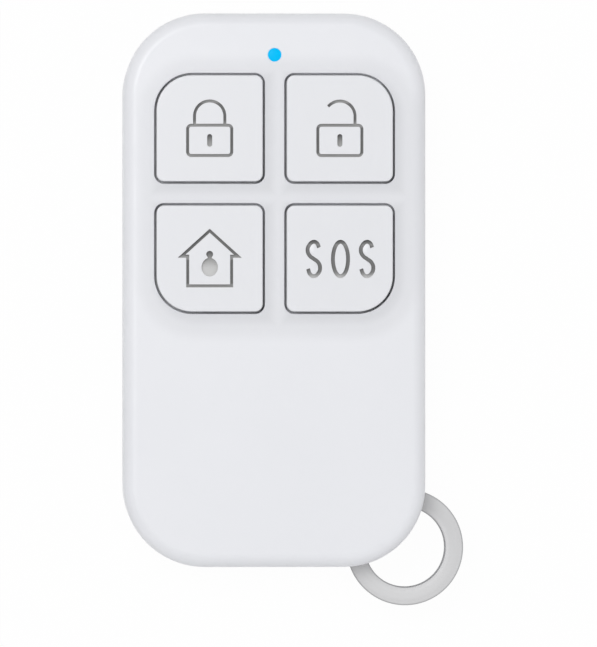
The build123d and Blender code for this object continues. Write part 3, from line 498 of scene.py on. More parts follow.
def sign_paint_and_shade(name, fade):
    """Grey paint and painted shade in a sunk sign. fade lists places along Y, from the foot up, and the grey
    at each.
    """
    material, tree, shader = new_material(name, Specular_IOR_Level=0.2)
    y = add(tree, "ShaderNodeSeparateXYZ", {0: object_place(tree)}).outputs["Y"]
    foot, head = fade[0][0], fade[-1][0]
    share = add(tree, "ShaderNodeMapRange", {0: y, 1: foot, 2: head}).outputs[0]
    ramp = add(tree, "ShaderNodeValToRGB", {0: share})
    stops = ramp.color_ramp.elements
    for height, _ in fade[1:-1]:
        stops.new((height - foot) / (head - foot))
    for stop, (_, grey) in zip(stops, fade):
        stop.color = opaque((grey,) * 3)
    use_group(tree, shader, MOULDED, {"Colour": ramp.outputs["Color"], "Shade": opaque(SIGN_SHADE),
                                      "Roughness": SIGN_ROUGHNESS})
    return material


def darken(material, share):
    """Mixes black into the material's colour, as painted shade."""
    tree = material.node_tree
    shader, = (node for node in tree.nodes if node.type == "BSDF_PRINCIPLED")
    clean, = shader.inputs["Base Color"].links
    tree.links.new(mixed(tree, share, clean.from_socket, opaque(NO_LIGHT)), shader.inputs["Base Color"])


def depth_below_front(tree):
    """How far the surface is below the front face of the case."""
    height = add(tree, "ShaderNodeSeparateXYZ", {0: object_place(tree)}).outputs["Z"]
    return maths(tree, "SUBTRACT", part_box("front_shell")[1].z, height)


def keys_middle():
    """The middle of the block of keys, and how far each key's own middle is from it along each side."""
    middle = (box_middle("arm_key") + box_middle("panic_key")) / 2
    return middle, box_middle("panic_key").x - middle.x


def absolute(tree, vector):
    """A vector with its sides made positive."""
    return add(tree, "ShaderNodeVectorMath", {0: vector}, operation="ABSOLUTE").outputs[0]


def painted_gap_shade(tree):
    """How much painted shade darkens the plastic in the gaps round the keys, with none of it at the front
    face.
    """
    middle, key_offset = keys_middle()
    off_middle = vector_maths(tree, "SUBTRACT", object_place(tree), (middle.x, middle.y, 0.0))
    folded = absolute(tree, off_middle)
    off_key = absolute(tree, vector_maths(tree, "SUBTRACT", folded, (key_offset, key_offset, 0.0)))
    sides = add(tree, "ShaderNodeSeparateXYZ", {0: off_key}).outputs
    across = maths(tree, "SUBTRACT", sides["Y"], sides["X"])
    shade = spread(tree, across, -GAP_TURN, GAP_TURN, *GAP_SHADE_SHARES)
    # Painted shade: whole a little below the front face, and lighter in the gaps that run across
    return maths(tree, "MULTIPLY", spread(tree, depth_below_front(tree), 0.0, GAP_SHADE_DROP), shade)


def painted_shade_key_plastic():
    """The keys' white plastic, with painted shade that makes it darker below the front face."""
    material = plastic("key_white", KEY_WHITE, WHITE_SHADE, 0.3, clear=CLEAR_SHARE)
    darken(material, painted_gap_shade(material.node_tree))
    return material


def painted_shade_case_plastic():
    """The case's white plastic, with painted shade in its gaps and a painted shadow below and right of the
    keys.
    """
    middle, _ = keys_middle()
    low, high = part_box("panic_key")
    inner_edge = low.x - middle.x + FLANGE_REACH
    arc_centre = high.x - middle.x - FLANGE_REACH - KEY_LARGE_RADIUS
    material = plastic("case_white", WHITE, WHITE_SHADE, 0.34, clear=CLEAR_SHARE)
    tree = material.node_tree
    # Painted shadow of the raised keys: distances are taken from a middle moved below and to the right of
    # them
    moved = vector_maths(tree, "SUBTRACT", object_place(tree),
                         (middle.x + SHADE_OFFSET[0], middle.y + SHADE_OFFSET[1], 0.0))
    flat = vector_maths(tree, "MULTIPLY", absolute(tree, moved), (1.0, 1.0, 0.0))
    outward = vector_maths(tree, "SUBTRACT", flat, (arc_centre, arc_centre, 0.0))
    outward = vector_maths(tree, "MAXIMUM", outward, ORIGIN)
    beyond = add(tree, "ShaderNodeVectorMath", {0: outward}, operation="LENGTH").outputs["Value"]
    beyond = maths(tree, "SUBTRACT", beyond, KEY_LARGE_RADIUS)
    sides = add(tree, "ShaderNodeSeparateXYZ", {0: flat}).outputs
    nearer = maths(tree, "MINIMUM", sides["X"], sides["Y"])
    between = maths(tree, "SUBTRACT", inner_edge, nearer)
    distance = maths(tree, "MAXIMUM", beyond, between)
    close = spread(tree, distance, 0.0, inner_edge, SHADE_SHARES[0], 0.0)
    wide = spread(tree, distance, inner_edge, SHADE_REACH, SHADE_SHARES[1], 0.0)
    near_gap = spread(tree, distance, inner_edge / 2, inner_edge, 1.0, 0.0)
    # Painted shade in the gaps, close to the keys only
    in_gap = maths(tree, "MULTIPLY", near_gap, painted_gap_shade(tree))
    shade = maths(tree, "MAXIMUM", maths(tree, "ADD", close, wide), in_gap)
    near_front = spread(tree, depth_below_front(tree), *SHADE_END, 1.0, 0.0)
    darken(material, maths(tree, "MULTIPLY", shade, near_front))
    return material


def lit_window_plastic():
    """Clear rod lit from behind in light blue, a little uneven."""
    material, tree, shader = new_material("light_blue", Emission_Strength=1.0, Specular_IOR_Level=0.05)
    uneven = spread(tree, noise(tree, object_place(tree), GLOW_SCALE), 0.3, 0.7)
    colour = mixed(tree, uneven, *map(opaque, GLOW_BLUES))
    use_group(tree, shader, MOULDED, {"Colour": opaque(UNLIT_BLUES[0]), "Shade": opaque(UNLIT_BLUES[1]),
                                      "Roughness": WINDOW_ROUGHNESS})
    tree.links.new(colour, shader.inputs["Emission Color"])
    return material


def board_laminate():
    """Green solder mask with tracks and tinned holes on both faces, and bare glass fibre at the edges."""
    material, tree, shader = new_material("board_green", Specular_IOR_Level=0.5)
    place = object_place(tree)
    tracks = add(tree, "ShaderNodeTexBrick", {
        "Vector": place, "Scale": TRACK_SCALE, "Mortar Size": 0.05, "Mortar Smooth": 0.1,
        "Brick Width": 0.9, "Row Height": 0.35,
    }).outputs["Fac"]
    bare = spread(tree, noise(tree, place, BARE_SCALE, 1.0), 0.5, 0.52)
    shown_tracks = maths(tree, "MULTIPLY", tracks, bare)
    green = mixed(tree, shown_tracks, opaque(MASK_GREEN), opaque(TRACK_GREEN))
    holes = add(tree, "ShaderNodeTexVoronoi", {"Vector": place, "Scale": HOLE_SCALE}).outputs["Distance"]
    faces = mixed(tree, spread(tree, holes, *HOLE_EDGE), green, opaque(TINNED))
    normal = add(tree, "ShaderNodeTexCoord").outputs["Normal"]
    upright = maths(tree, "ABSOLUTE", add(tree, "ShaderNodeSeparateXYZ", {0: normal}).outputs["Z"])
    weave = noise(tree, stretched(tree, place, WEAVE_SCALES), 1.0)
    fibre = mixed(tree, weave, *map(opaque, GLASS_FIBRE))
    colour = mixed(tree, spread(tree, upright, 0.4, 0.6), fibre, faces)
    use_group(tree, shader, MOULDED, {"Colour": colour, "Shade": opaque(MASK_SHADE),
                                      "Roughness": BOARD_ROUGHNESS})
    return material


def corner_spot(node):
    """Where a chip's first pin is marked, near its lower left corner."""
    low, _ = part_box(node)
    return low + Vector((PIN_ONE_INSET, PIN_ONE_INSET, 0.0))


case_white = painted_shade_case_plastic()
key_white = painted_shade_key_plastic()
door_white = plastic("door_white", DOOR_WHITE, WHITE_SHADE, 0.36, clear=CLEAR_SHARE)
ring_nickel = ring_nickel_plate()
light_blue = lit_window_plastic()
board_green = board_laminate()
screw_steel = metal("screw_steel", (0.55, 0.56, 0.58), (0.3, 0.3, 0.3), 0.34)
track_tin = metal("track_tin", (0.62, 0.48, 0.36), (0.4, 0.26, 0.16), 0.38)
lead_tin = metal("lead_tin", (0.6, 0.6, 0.6), (0.36, 0.36, 0.36), 0.36)
crystal_steel = metal("crystal_steel", (0.64, 0.64, 0.65), (0.4, 0.4, 0.41), 0.3)
cell_steel = metal("cell_steel", (0.62, 0.62, 0.63), (0.4, 0.4, 0.4), 0.28, box_middle("cell_can"))
contact_steel = metal("contact_steel", (0.64, 0.63, 0.6), (0.38, 0.36, 0.34), 0.32)
switch_steel = metal("switch_steel", (0.62, 0.62, 0.62), (0.36, 0.36, 0.36), 0.34)
switch_black = plastic("switch_black", BLACK, BLACK_SHADE, 0.5)
plunger_black = plastic("plunger_black", BLACK_SHADE, BLACK, 0.42)
seal_black = plastic("seal_black", BLACK_SHADE, BLACK, 0.6)
resistor_black = plastic("resistor_black", BLACK, BLACK_SHADE, 0.4)
capacitor_tan = plastic("capacitor_tan", (0.4, 0.27, 0.16), (0.3, 0.19, 0.1), 0.45)
encoder_epoxy = plastic("encoder_epoxy", BLACK, BLACK_SHADE, 0.55, 0.4,
                        (corner_spot("encoder_chip"), PIN_ONE_RADIUS, PIN_ONE_GREY))
radio_epoxy = plastic("radio_epoxy", BLACK, BLACK_SHADE, 0.55, 0.4,
                      (corner_spot("radio_chip"), PIN_ONE_RADIUS, PIN_ONE_GREY))
led_white = plastic("led_white", (0.76, 0.76, 0.72), (0.66, 0.66, 0.6), 0.4, 0.5,
                    (box_middle("status_led"), LED_LENS_RADIUS, LENS_YELLOW))


# ---- shapes

def new_piece(name, bm, materials):
    """An object at the origin from a finished bmesh."""
    mesh = bpy.data.meshes.new(name)
    bm.to_mesh(mesh)
    bm.free()
    for material in materials:
        mesh.materials.append(material)
    piece = bpy.data.objects.new(name, mesh)
    bpy.context.scene.collection.objects.link(piece)
    return piece


def baked(piece):
    """The piece with its modifiers applied."""
    evaluated = piece.evaluated_get(bpy.context.evaluated_depsgraph_get())
    mesh = bpy.data.meshes.new_from_object(evaluated)
    piece.modifiers.clear()
    piece.data = mesh
    return piece


def combine(piece, helpers, operation):
    """The piece with helper solids cut from it or joined to it, which are then removed."""
    for helper in helpers:
        modifier = piece.modifiers.new("combine", "BOOLEAN")
        modifier.operation = operation
        modifier.object = helper
        modifier.solver = "EXACT"
        modifier.material_mode = "TRANSFER"
    baked(piece)
    for helper in helpers:
        bpy.data.objects.remove(helper)
    return piece


def even_shading(piece):
    """Flat faces shade flat and narrow rounded edges take all of the turn."""
    for polygon in piece.data.polygons:
        polygon.use_smooth = True
    normals = piece.modifiers.new("even_shading", "WEIGHTED_NORMAL")
    normals.keep_sharp = True
    normals.use_face_influence = True
    return piece


def soften(piece, width):
    """Small rounded edges."""
    bevel = piece.modifiers.new("soft_edges", "BEVEL")
    bevel.width = width
    bevel.segments = SOFT_STEPS
    bevel.limit_method = "ANGLE"
    bevel.angle_limit = math.radians(SHARP_DEG)
    bevel.use_clamp_overlap = False
    bevel.face_strength_mode = "FSTR_NEW"
    return even_shading(piece)


def stands_for(piece, node):
    """The piece moves with a CAD node's body and is shown in its place."""
    body, = body_of(frame["nodes"][node])
    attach(piece, body)
    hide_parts(node)
    return piece


def round_off(bm, geom, radius, steps, affect):
    """Rounds the corners or the edges given."""
    bmesh.ops.bevel(bm, geom=geom, offset=radius, offset_type="OFFSET", segments=steps, profile=0.5,
                    affect=affect, material=-1)


def move(bm, vec):
    """Moves all of a bmesh."""
    bmesh.ops.translate(bm, vec=vec, verts=bm.verts)


def scale(bm, vec):
    """Scales all of a bmesh from the origin."""
    bmesh.ops.scale(bm, vec=vec, verts=bm.verts)


def turn(bm, angle_deg, axis):
    """Turns all of a bmesh about an axis through the origin."""
    matrix = Matrix.Rotation(math.radians(angle_deg), 3, axis)
    bmesh.ops.rotate(bm, cent=ORIGIN, matrix=matrix, verts=bm.verts)


def face_outwards(bm):
    """Makes every face look out."""
    bmesh.ops.recalc_face_normals(bm, faces=bm.faces)


def rounded_outline(bm, width, height, radius, steps=CORNER_STEPS, large=None):
    """A flat rounded rectangle around the origin. large is an unlike corner's ((side_x, side_y), radius)."""
    bmesh.ops.create_grid(bm, x_segments=1, y_segments=1, size=0.5)
    scale(bm, (width, height, 1.0))
    corners = list(bm.verts)
    if large:
        (side_x, side_y), large_radius = large
        special = [v for v in corners if v.co.x * side_x > 0 and v.co.y * side_y > 0]
        corners = [v for v in corners if v not in special]
        round_off(bm, special, large_radius, 2 * steps, "VERTICES")
    round_off(bm, corners, radius, steps, "VERTICES")


def raise_faces(bm, faces, height):
    """Faces extruded straight up or down, and the faces at the far end."""
    made = bmesh.ops.extrude_face_region(bm, geom=faces)["geom"]
    verts = [g for g in made if isinstance(g, bmesh.types.BMVert)]
    bmesh.ops.translate(bm, vec=(0.0, 0.0, height), verts=verts)
    return [g for g in made if isinstance(g, bmesh.types.BMFace)]


def slab(width, length, low, high, place):
    """A plain block as a bmesh."""
    bm = bmesh.new()
    bmesh.ops.create_cube(bm, size=1.0)
    scale(bm, (width, length, high - low))
    move(bm, (place[0], place[1], (low + high) / 2))
    return bm


def rod(radius, low, high, place, stretch=1.0):
    """An upright rod as a bmesh, stretched along Y where it is oval."""
    bm = bmesh.new()
    bmesh.ops.create_cone(bm, cap_ends=True, segments=ROD_STEPS, radius1=radius, radius2=radius,
                          depth=high - low)
    scale(bm, (1.0, stretch, 1.0))
    move(bm, (place[0], place[1], (low + high) / 2))
    return bm


# ---- signs

def fence(name, bm, line, low, height, middle, paint, offset=0.0):
    """A cutter that follows the edges of a flat path, as wide as the sign's line."""
    for face in list(bm.faces):
        bm.faces.remove(face)
    made = bmesh.ops.extrude_edge_only(bm, edges=bm.edges)["geom"]
    raised = [g for g in made if isinstance(g, bmesh.types.BMVert)]
    bmesh.ops.translate(bm, vec=(0.0, 0.0, height), verts=raised)
    move(bm, (middle.x, middle.y, low))
    face_outwards(bm)
    piece = new_piece(name, bm, [paint])
    wall = piece.modifiers.new("line", "SOLIDIFY")
    wall.thickness = line
    wall.offset = offset
    wall.use_even_offset = True
    return baked(piece)


def arc(bm, radius, centre_y, sweep_deg, leg_low, leg_sides):
    """A shackle's path: an arc from its right end, and a straight leg on each side named."""
    start = bm.verts.new((radius, centre_y, 0.0))
    bmesh.ops.spin(bm, geom=[start], cent=(0.0, centre_y, 0.0), axis=UPRIGHT, angle=math.radians(sweep_deg),
                   steps=SHACKLE_STEPS, use_merge=False, use_duplicate=False)
    for side in leg_sides:
        top = min(bm.verts, key=lambda v: (v.co - Vector((side * radius, centre_y, 0.0))).length)
        foot = bm.verts.new((side * radius, leg_low, 0.0))
        bm.edges.new((top, foot))


def shaded_stroke_fade(foot, head):
    """Greys with painted shade up a sign's closed shape: lighter in the strokes that run across at its foot
    and head.
    """
    across, upright = STROKE_SHADED_GREYS
    reach = STROKE_FADE_LINES * SIGN_LINE
    return [(foot, across), (foot + SIGN_LINE, across), (foot + reach, upright),
            (head - reach, upright), (head - SIGN_LINE, across), (head, across)]


def padlock(key_name, low, height, middle, sweep_deg, leg_sides):
    """Cutters for a padlock's body, shackle and keyhole."""
    hole_y = middle.y + PADLOCK_TOP - PADLOCK_HEIGHT / 2
    foot = hole_y - PADLOCK_HEIGHT / 2
    top = hole_y + PADLOCK_HEIGHT / 2
    head = middle.y + SHACKLE_CENTRE_Y + SHACKLE_RADIUS + SIGN_LINE / 2
    line_paint = sign_paint_and_shade(key_name + "_line_grey_shaded", shaded_stroke_fade(foot, top) + shaded_stroke_fade(top, head)[2:])
    hole_ends = (hole_y - KEYHOLE_HEIGHT / 2, hole_y + KEYHOLE_HEIGHT / 2)
    # Painted shade: the keyhole darker towards its top
    hole_paint = sign_paint_and_shade(key_name + "_keyhole_grey_shaded", list(zip(hole_ends, KEYHOLE_SHADED_GREYS)))
    body = bmesh.new()
    rounded_outline(body, PADLOCK_WIDTH - SIGN_LINE, PADLOCK_HEIGHT - SIGN_LINE,
                    PADLOCK_RADIUS - SIGN_LINE / 2)
    move(body, (0.0, PADLOCK_TOP - PADLOCK_HEIGHT / 2, 0.0))
    shackle = bmesh.new()
    arc(shackle, SHACKLE_RADIUS, SHACKLE_CENTRE_Y, sweep_deg, PADLOCK_TOP - SIGN_LINE / 2, leg_sides)
    hole = bmesh.new()
    rounded_outline(hole, KEYHOLE_WIDTH, KEYHOLE_HEIGHT, KEYHOLE_WIDTH * ROUND_END_SHARE)
    raise_faces(hole, list(hole.faces), height)
    move(hole, (middle.x, hole_y, low))
    face_outwards(hole)
    return [
        fence("padlock_body", body, SIGN_LINE, low, height, middle, line_paint),
        fence("shackle", shackle, SIGN_LINE, low, height, middle, line_paint),
        new_piece("keyhole", hole, [hole_paint]),
    ]


def house(key_name, low, height, middle):
    """Cutters for a house's outline and the figure inside it."""
    line_fade = shaded_stroke_fade(middle.y + HOUSE_FLOOR_Y, middle.y + HOUSE_EAVE_Y + SIGN_LINE / 2)
    roof_ends = (middle.y + HOUSE_EAVE_Y + SIGN_LINE, middle.y + HOUSE_ROOF_TOP)
    roof_fade = [(place, STROKE_SHADED_GREYS[1]) for place in roof_ends]
    line_paint = sign_paint_and_shade(key_name + "_line_grey_shaded", line_fade + roof_fade)
    figure_places = (middle.y + PERSON_BODY_Y - PERSON_BODY_HALF_HEIGHT, middle.y + PERSON_BODY_Y,
                     middle.y + PERSON_HEAD_Y + PERSON_HEAD_RADIUS)
    # Painted shade: the figure darker towards its head
    figure_paint = sign_paint_and_shade(key_name + "_figure_grey_shaded", list(zip(figure_places, FIGURE_SHADED_GREYS)))
    walls = bmesh.new()
    right_side = [(0.0, HOUSE_ROOF_TOP), (HOUSE_EAVE_HALF, HOUSE_EAVE_Y), (HOUSE_WALL_HALF, HOUSE_EAVE_Y),
                  (HOUSE_WALL_HALF, HOUSE_FLOOR_Y)]
    corners = right_side + [(-x, y) for x, y in reversed(right_side[1:])]
    verts = [walls.verts.new((x, y, 0.0)) for x, y in corners]
    for first, second in zip(verts, verts[1:] + verts[:1]):
        walls.edges.new((first, second))
    top = low + height
    neck_middle = (middle.x, middle.y + (PERSON_HEAD_Y + PERSON_BODY_Y) / 2)
    figure = [
        rod(PERSON_HEAD_RADIUS, low, top, (middle.x, middle.y + PERSON_HEAD_Y)),
        rod(PERSON_BODY_HALF_WIDTH, low, top, (middle.x, middle.y + PERSON_BODY_Y),
            PERSON_BODY_HALF_HEIGHT / PERSON_BODY_HALF_WIDTH),
        slab(PERSON_NECK_WIDTH, PERSON_HEAD_Y - PERSON_BODY_Y, low, top, neck_middle),
    ]
    cutters = [new_piece(f"figure_{number}", bm, [figure_paint]) for number, bm in enumerate(figure)]
    return [fence("house_line", walls, SIGN_LINE, low, height, middle, line_paint, -1.0)] + cutters


def letter_s_path(bm):
    """The S's line as a smooth curve through its points, laid into a bmesh as edges."""
    half_width = (LETTER_S_WIDTH - LETTER_LINE) / 2
    half_height = (LETTER_HEIGHT - LETTER_LINE) / 2
    points = [(x * half_width, y * half_height) for x, y in LETTER_S_SHARES]
    curve = bpy.data.curves.new("letter_s", "CURVE")
    spline = curve.splines.new("BEZIER")
    spline.bezier_points.add(len(points) - 1)
    for point, (x, y) in zip(spline.bezier_points, points):
        point.co = (x, y, 0.0)
        point.handle_left_type = "AUTO"
        point.handle_right_type = "AUTO"
    spline.resolution_u = LETTER_S_STEPS
    helper = bpy.data.objects.new("letter_s", curve)
    bpy.context.scene.collection.objects.link(helper)
    bpy.context.view_layer.update()
    mesh = bpy.data.meshes.new_from_object(helper.evaluated_get(bpy.context.evaluated_depsgraph_get()))
    bm.from_mesh(mesh)
    bpy.data.objects.remove(helper)


def mark_places(key_name):
    """Where along X the marks of a key's sign are, from its middle."""
    return [LETTER_X + side * LETTER_PITCH for side in (-1, 0, 1)] if key_name == "panic" else [0.0]


def letters(key_name, low, height, middle):
    """Cutters for the three letters of the distress call."""
    foot = middle.y + LETTER_Y - LETTER_HEIGHT / 2
    fade = [(foot + share * LETTER_HEIGHT, grey) for share, grey in LETTER_SHADED_FADE]
    # Painted shade: the letters' grey changes up their height, darkest at the top
    paint = sign_paint_and_shade(key_name + "_letter_grey_shaded", fade)
    made = []
    for number, (letter, place_x) in enumerate(zip("SOS", mark_places(key_name)), start=1):
        bm = bmesh.new()
        if letter == "S":
            letter_s_path(bm)
        else:
            width = LETTER_O_WIDTH - LETTER_LINE
            bmesh.ops.create_circle(bm, segments=LETTER_O_STEPS, radius=width / 2)
            scale(bm, (1.0, (LETTER_HEIGHT - LETTER_LINE) / width, 1.0))
        place = Vector((middle.x + place_x, middle.y + LETTER_Y, 0.0))
        made.append(fence(f"letter_{number}", bm, LETTER_LINE, low, height, place, paint))
    return made


def sign_cutters(key_name, low, height, middle):
    """The cutters for a key's sign."""
    if key_name == "arm":
        return padlock(key_name, low, height, middle, SHACKLE_CLOSED_DEG, (-1, 1))
    if key_name == "disarm":
        return padlock(key_name, low, height, middle, SHACKLE_OPEN_DEG, (1,))
    if key_name == "home":
        return house(key_name, low, height, middle)
    return letters(key_name, low, height, middle)


# ---- pieces

def key_body(key_name, side_x, side_y):
    """A key's flange and raised cap with a rounded top edge, parted through the middle of each mark."""
    low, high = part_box(key_name + "_key")
    bm = bmesh.new()
    rounded_outline(bm, high.x - low.x, high.y - low.y, KEY_SMALL_RADIUS + FLANGE_REACH,
                    large=((side_x, side_y), KEY_LARGE_RADIUS + FLANGE_REACH))
    top = raise_faces(bm, list(bm.faces), FLANGE_THICKNESS)
    bmesh.ops.inset_region(bm, faces=top, thickness=FLANGE_REACH, use_even_offset=True)
    top = raise_faces(bm, top, high.z - low.z - FLANGE_THICKNESS)
    round_off(bm, list(top[0].edges), KEY_EDGE_RADIUS, KEY_EDGE_STEPS, "EDGES")
    for place in mark_places(key_name):
        bmesh.ops.bisect_plane(bm, geom=list(bm.verts) + list(bm.edges) + list(bm.faces),
                               plane_co=(place, 0.0, 0.0), plane_no=(1.0, 0.0, 0.0))
    middle = (low + high) / 2
    move(bm, (middle.x, middle.y, low.z))
    return new_piece(key_name + "_key_cap", bm, [key_white])


def key_hollow(key_name, side_x, side_y):
    """The room under a key's cap, round its post and ribs."""
    low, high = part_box(key_name + "_key")
    middle = (low + high) / 2
    width, length = (size - 2 * (FLANGE_REACH + KEY_SIDE_WALL) for size in (high - low).xy)
    room = bmesh.new()
    rounded_outline(room, width, length, KEY_INNER_RADIUS,
                    large=((side_x, side_y), KEY_LARGE_RADIUS - KEY_SIDE_WALL))
    raise_faces(room, list(room.faces), high.z - low.z - KEY_TOP_WALL + FLANGE_THICKNESS)
    move(room, (middle.x, middle.y, low.z - FLANGE_THICKNESS))
    face_outwards(room)
    inside = (middle.x, middle.y)
    post_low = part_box(key_name + "_switch_plunger")[1].z + KEY_POST_GAP
    ribs_low = high.z - KEY_TOP_WALL - KEY_RIB_DEPTH
    return combine(new_piece("hollow", room, [key_white]), [
        new_piece("post", rod(KEY_POST_RADIUS, post_low, high.z, inside), [key_white]),
        new_piece("rib_x", slab(2 * width, KEY_RIB_WIDTH, ribs_low, high.z, inside), [key_white]),
        new_piece("rib_y", slab(KEY_RIB_WIDTH, 2 * length, ribs_low, high.z, inside), [key_white]),
    ], "DIFFERENCE")


def key(key_name, side_x, side_y):
    """A key with its hollow and its sunk sign."""
    low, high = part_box(key_name + "_key")
    signs = sign_cutters(key_name, high.z - SIGN_DEPTH, 2 * SIGN_DEPTH, (low + high) / 2)
    body = key_body(key_name, side_x, side_y)
    cap = combine(body, [key_hollow(key_name, side_x, side_y)] + signs, "DIFFERENCE")
    stands_for(soften(cap, SIGN_SOFTNESS), key_name + "_key")


def merged_copy(node):
    """A CAD node's shape as a bmesh, with its faces merged whole."""
    bm = bmesh.new()
    bm.from_mesh(frame["nodes"][node].data)
    bmesh.ops.remove_doubles(bm, verts=bm.verts, dist=MERGE_REACH)
    return bm


def eased_copy(node, name, material, width):
    """A piece in a CAD node's shape with its sharp edges eased."""
    bm = merged_copy(node)
    bmesh.ops.dissolve_limit(bm, angle_limit=math.radians(FLAT_DEG), verts=bm.verts, edges=bm.edges)
    stands_for(soften(new_piece(name, bm, [material]), width), node)


def snap_dome(key_name):
    """A switch's thin steel dome, shaded smooth, on its own copy of its mesh."""
    node = key_name + "_switch_dome"
    dome = baked(even_shading(new_piece(key_name + "_snap_dome", merged_copy(node), [switch_steel])))
    stands_for(dome, node)
    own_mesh(dome)


def sweep(bm, faces, turn_deg, steps, rise=0.0):
    """Faces spun about the origin's upright axis, and the faces at the far end."""
    made = bmesh.ops.spin(bm, geom=faces, cent=ORIGIN, axis=UPRIGHT, dvec=(0.0, 0.0, rise),
                          angle=math.radians(turn_deg), steps=steps, use_merge=False, use_duplicate=False)
    return [g for g in made["geom_last"] if isinstance(g, bmesh.types.BMFace)]


def key_ring():
    """Split ring: a turn of flat wire, a ramp up, and a second turn."""
    low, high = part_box("key_ring")
    half_rise = (high.z - low.z - RING_LAYER) / 2
    start = RING_STEP_DIRECTION_DEG + RING_STEP_HALF_DEG
    turn_deg = 360.0 - 2 * RING_STEP_HALF_DEG
    bm = bmesh.new()
    rounded_outline(bm, RING_BAND, RING_LAYER, RING_EDGE_RADIUS, steps=RING_EDGE_STEPS)
    turn(bm, 90.0, "X")
    move(bm, ((high.x - low.x - RING_BAND) / 2, 0.0, -half_rise))
    turn(bm, start, "Z")
    end = sweep(bm, list(bm.faces), turn_deg, RING_TURN_STEPS)
    for step in range(RING_RAMP_STEPS):
        angles = [math.pi * number / RING_RAMP_STEPS for number in (step, step + 1)]
        rise = half_rise * (math.cos(angles[0]) - math.cos(angles[1]))
        end = sweep(bm, end, 2 * RING_STEP_HALF_DEG / RING_RAMP_STEPS, 1, rise)
    sweep(bm, end, turn_deg, RING_TURN_STEPS)
    face_outwards(bm)
    move(bm, (low + high) / 2)
    stands_for(even_shading(new_piece("split_ring", bm, [ring_nickel])), "key_ring")


def light_window():
    """Clear rod with a flange and a low crown that shows in the front face."""
    low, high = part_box("light_pipe")
    crown_low = high.z - WINDOW_CROWN
    crown_radius = (WINDOW_RADIUS ** 2 + WINDOW_CROWN ** 2) / (2 * WINDOW_CROWN)
    flange_low = WINDOW_FLANGE_TOP - WINDOW_FLANGE_THICKNESS
    flange_radius = (high.x - low.x) / 2
    profile = [
        (0.0, low.z), (WINDOW_STEM_RADIUS, low.z), (WINDOW_STEM_RADIUS, flange_low),
        (flange_radius, flange_low), (flange_radius, WINDOW_FLANGE_TOP), (WINDOW_RADIUS, WINDOW_FLANGE_TOP),
    ]
    for step in range(WINDOW_CROWN_STEPS + 1):
        radius = WINDOW_RADIUS * (1 - step / WINDOW_CROWN_STEPS)
        crown = math.sqrt(crown_radius ** 2 - radius ** 2) - crown_radius + WINDOW_CROWN
        profile.append((radius, crown_low + crown))
    bm = bmesh.new()
    verts = [bm.verts.new((radius, 0.0, height)) for radius, height in profile]
    edges = [bm.edges.new(pair) for pair in zip(verts, verts[1:])]
    bmesh.ops.spin(bm, geom=verts + edges, cent=ORIGIN, axis=UPRIGHT, angle=2 * math.pi, steps=WINDOW_STEPS,
                   use_merge=True, use_duplicate=False)
    bmesh.ops.remove_doubles(bm, verts=bm.verts, dist=MERGE_REACH)
    face_outwards(bm)
    middle = (low + high) / 2
    move(bm, (middle.x, middle.y, 0.0))
    window = soften(new_piece("light_window", bm, [light_blue]), STAMPED_SOFTNESS)
    stands_for(window, "light_pipe")


def loose_boxes(bm):
    """The lowest and highest corner of each loose part."""
    boxes = []
    for first in bm.verts:
        if first.tag:
            continue
        first.tag = True
        reached = [first]
        for vert in reached:
            for other in (edge.other_vert(vert) for edge in vert.link_edges):
                if not other.tag:
                    other.tag = True
                    reached.append(other)
        corners = [[pick(vert.co[axis] for vert in reached) for axis in range(3)] for pick in (min, max)]
        boxes.append((Vector(corners[0]), Vector(corners[1])))
    return boxes


def end_capped_parts(node, name, material):
    """Small chip parts, each a body set in slightly thicker plated caps at its two ends."""
    source = merged_copy(node)
    bm = bmesh.new()
    for low, high in loose_boxes(source):
        size, middle = high - low, (low + high) / 2
        along = Vector((1.0, 0.0, 0.0)) if size.x > size.y else Vector((0.0, 1.0, 0.0))
        cut = size.dot(along) / 2 - END_CAP_LENGTH
        verts = bmesh.ops.create_cube(bm, size=1.0)["verts"]
        bmesh.ops.scale(bm, vec=size, verts=verts)
        bmesh.ops.translate(bm, vec=middle, verts=verts)
        for side in (-1, 1):
            faces = {face for vert in verts for face in vert.link_faces}
            geom = list(faces) + [edge for face in faces for edge in face.edges] + verts
            made = bmesh.ops.bisect_plane(bm, geom=list(dict.fromkeys(geom)),
                                          plane_co=middle + along * side * cut, plane_no=along * side)
            verts = verts + [g for g in made["geom_cut"] if isinstance(g, bmesh.types.BMVert)]
        belt = {face for vert in verts for face in vert.link_faces
                if abs((face.calc_center_median() - middle).dot(along)) < cut / 2}
        for face in belt:
            face.material_index = 1
        bmesh.ops.inset_region(bm, faces=list(belt), thickness=END_CAP_STEP, depth=-END_CAP_STEP)
    source.free()
    stands_for(even_shading(new_piece(name, bm, [lead_tin, material])), node)


def dress(node, material):
    """Gives a CAD node its material."""
    frame["nodes"][node].data.materials.clear()
    frame["nodes"][node].data.materials.append(material)


for key_name, side_x, side_y in KEYS:
    key(key_name, side_x, side_y)
    for part, name, slot, material in (
        ("base", "housing", "switch_black", switch_black),
        ("cover", "lid", "switch_steel", switch_steel),
        ("plunger", "button", "plunger_black", plunger_black),
    ):
        switch = key_name + "_switch_"
        eased_copy(switch + part, switch + name, material, STAMPED_SOFTNESS)
    snap_dome(key_name)

for node, name, slot, material in (
    ("front_shell", "front_cover", "case_white", case_white),
    ("rear_shell", "rear_cover", "case_white", case_white),
    ("battery_door", "battery_cover", "door_white", door_white),
):
    eased_copy(node, name, material, SHELL_SOFTNESS)
eased_copy("case_screws", "cross_slot_screws", screw_steel, STAMPED_SOFTNESS)
key_ring()
light_window()

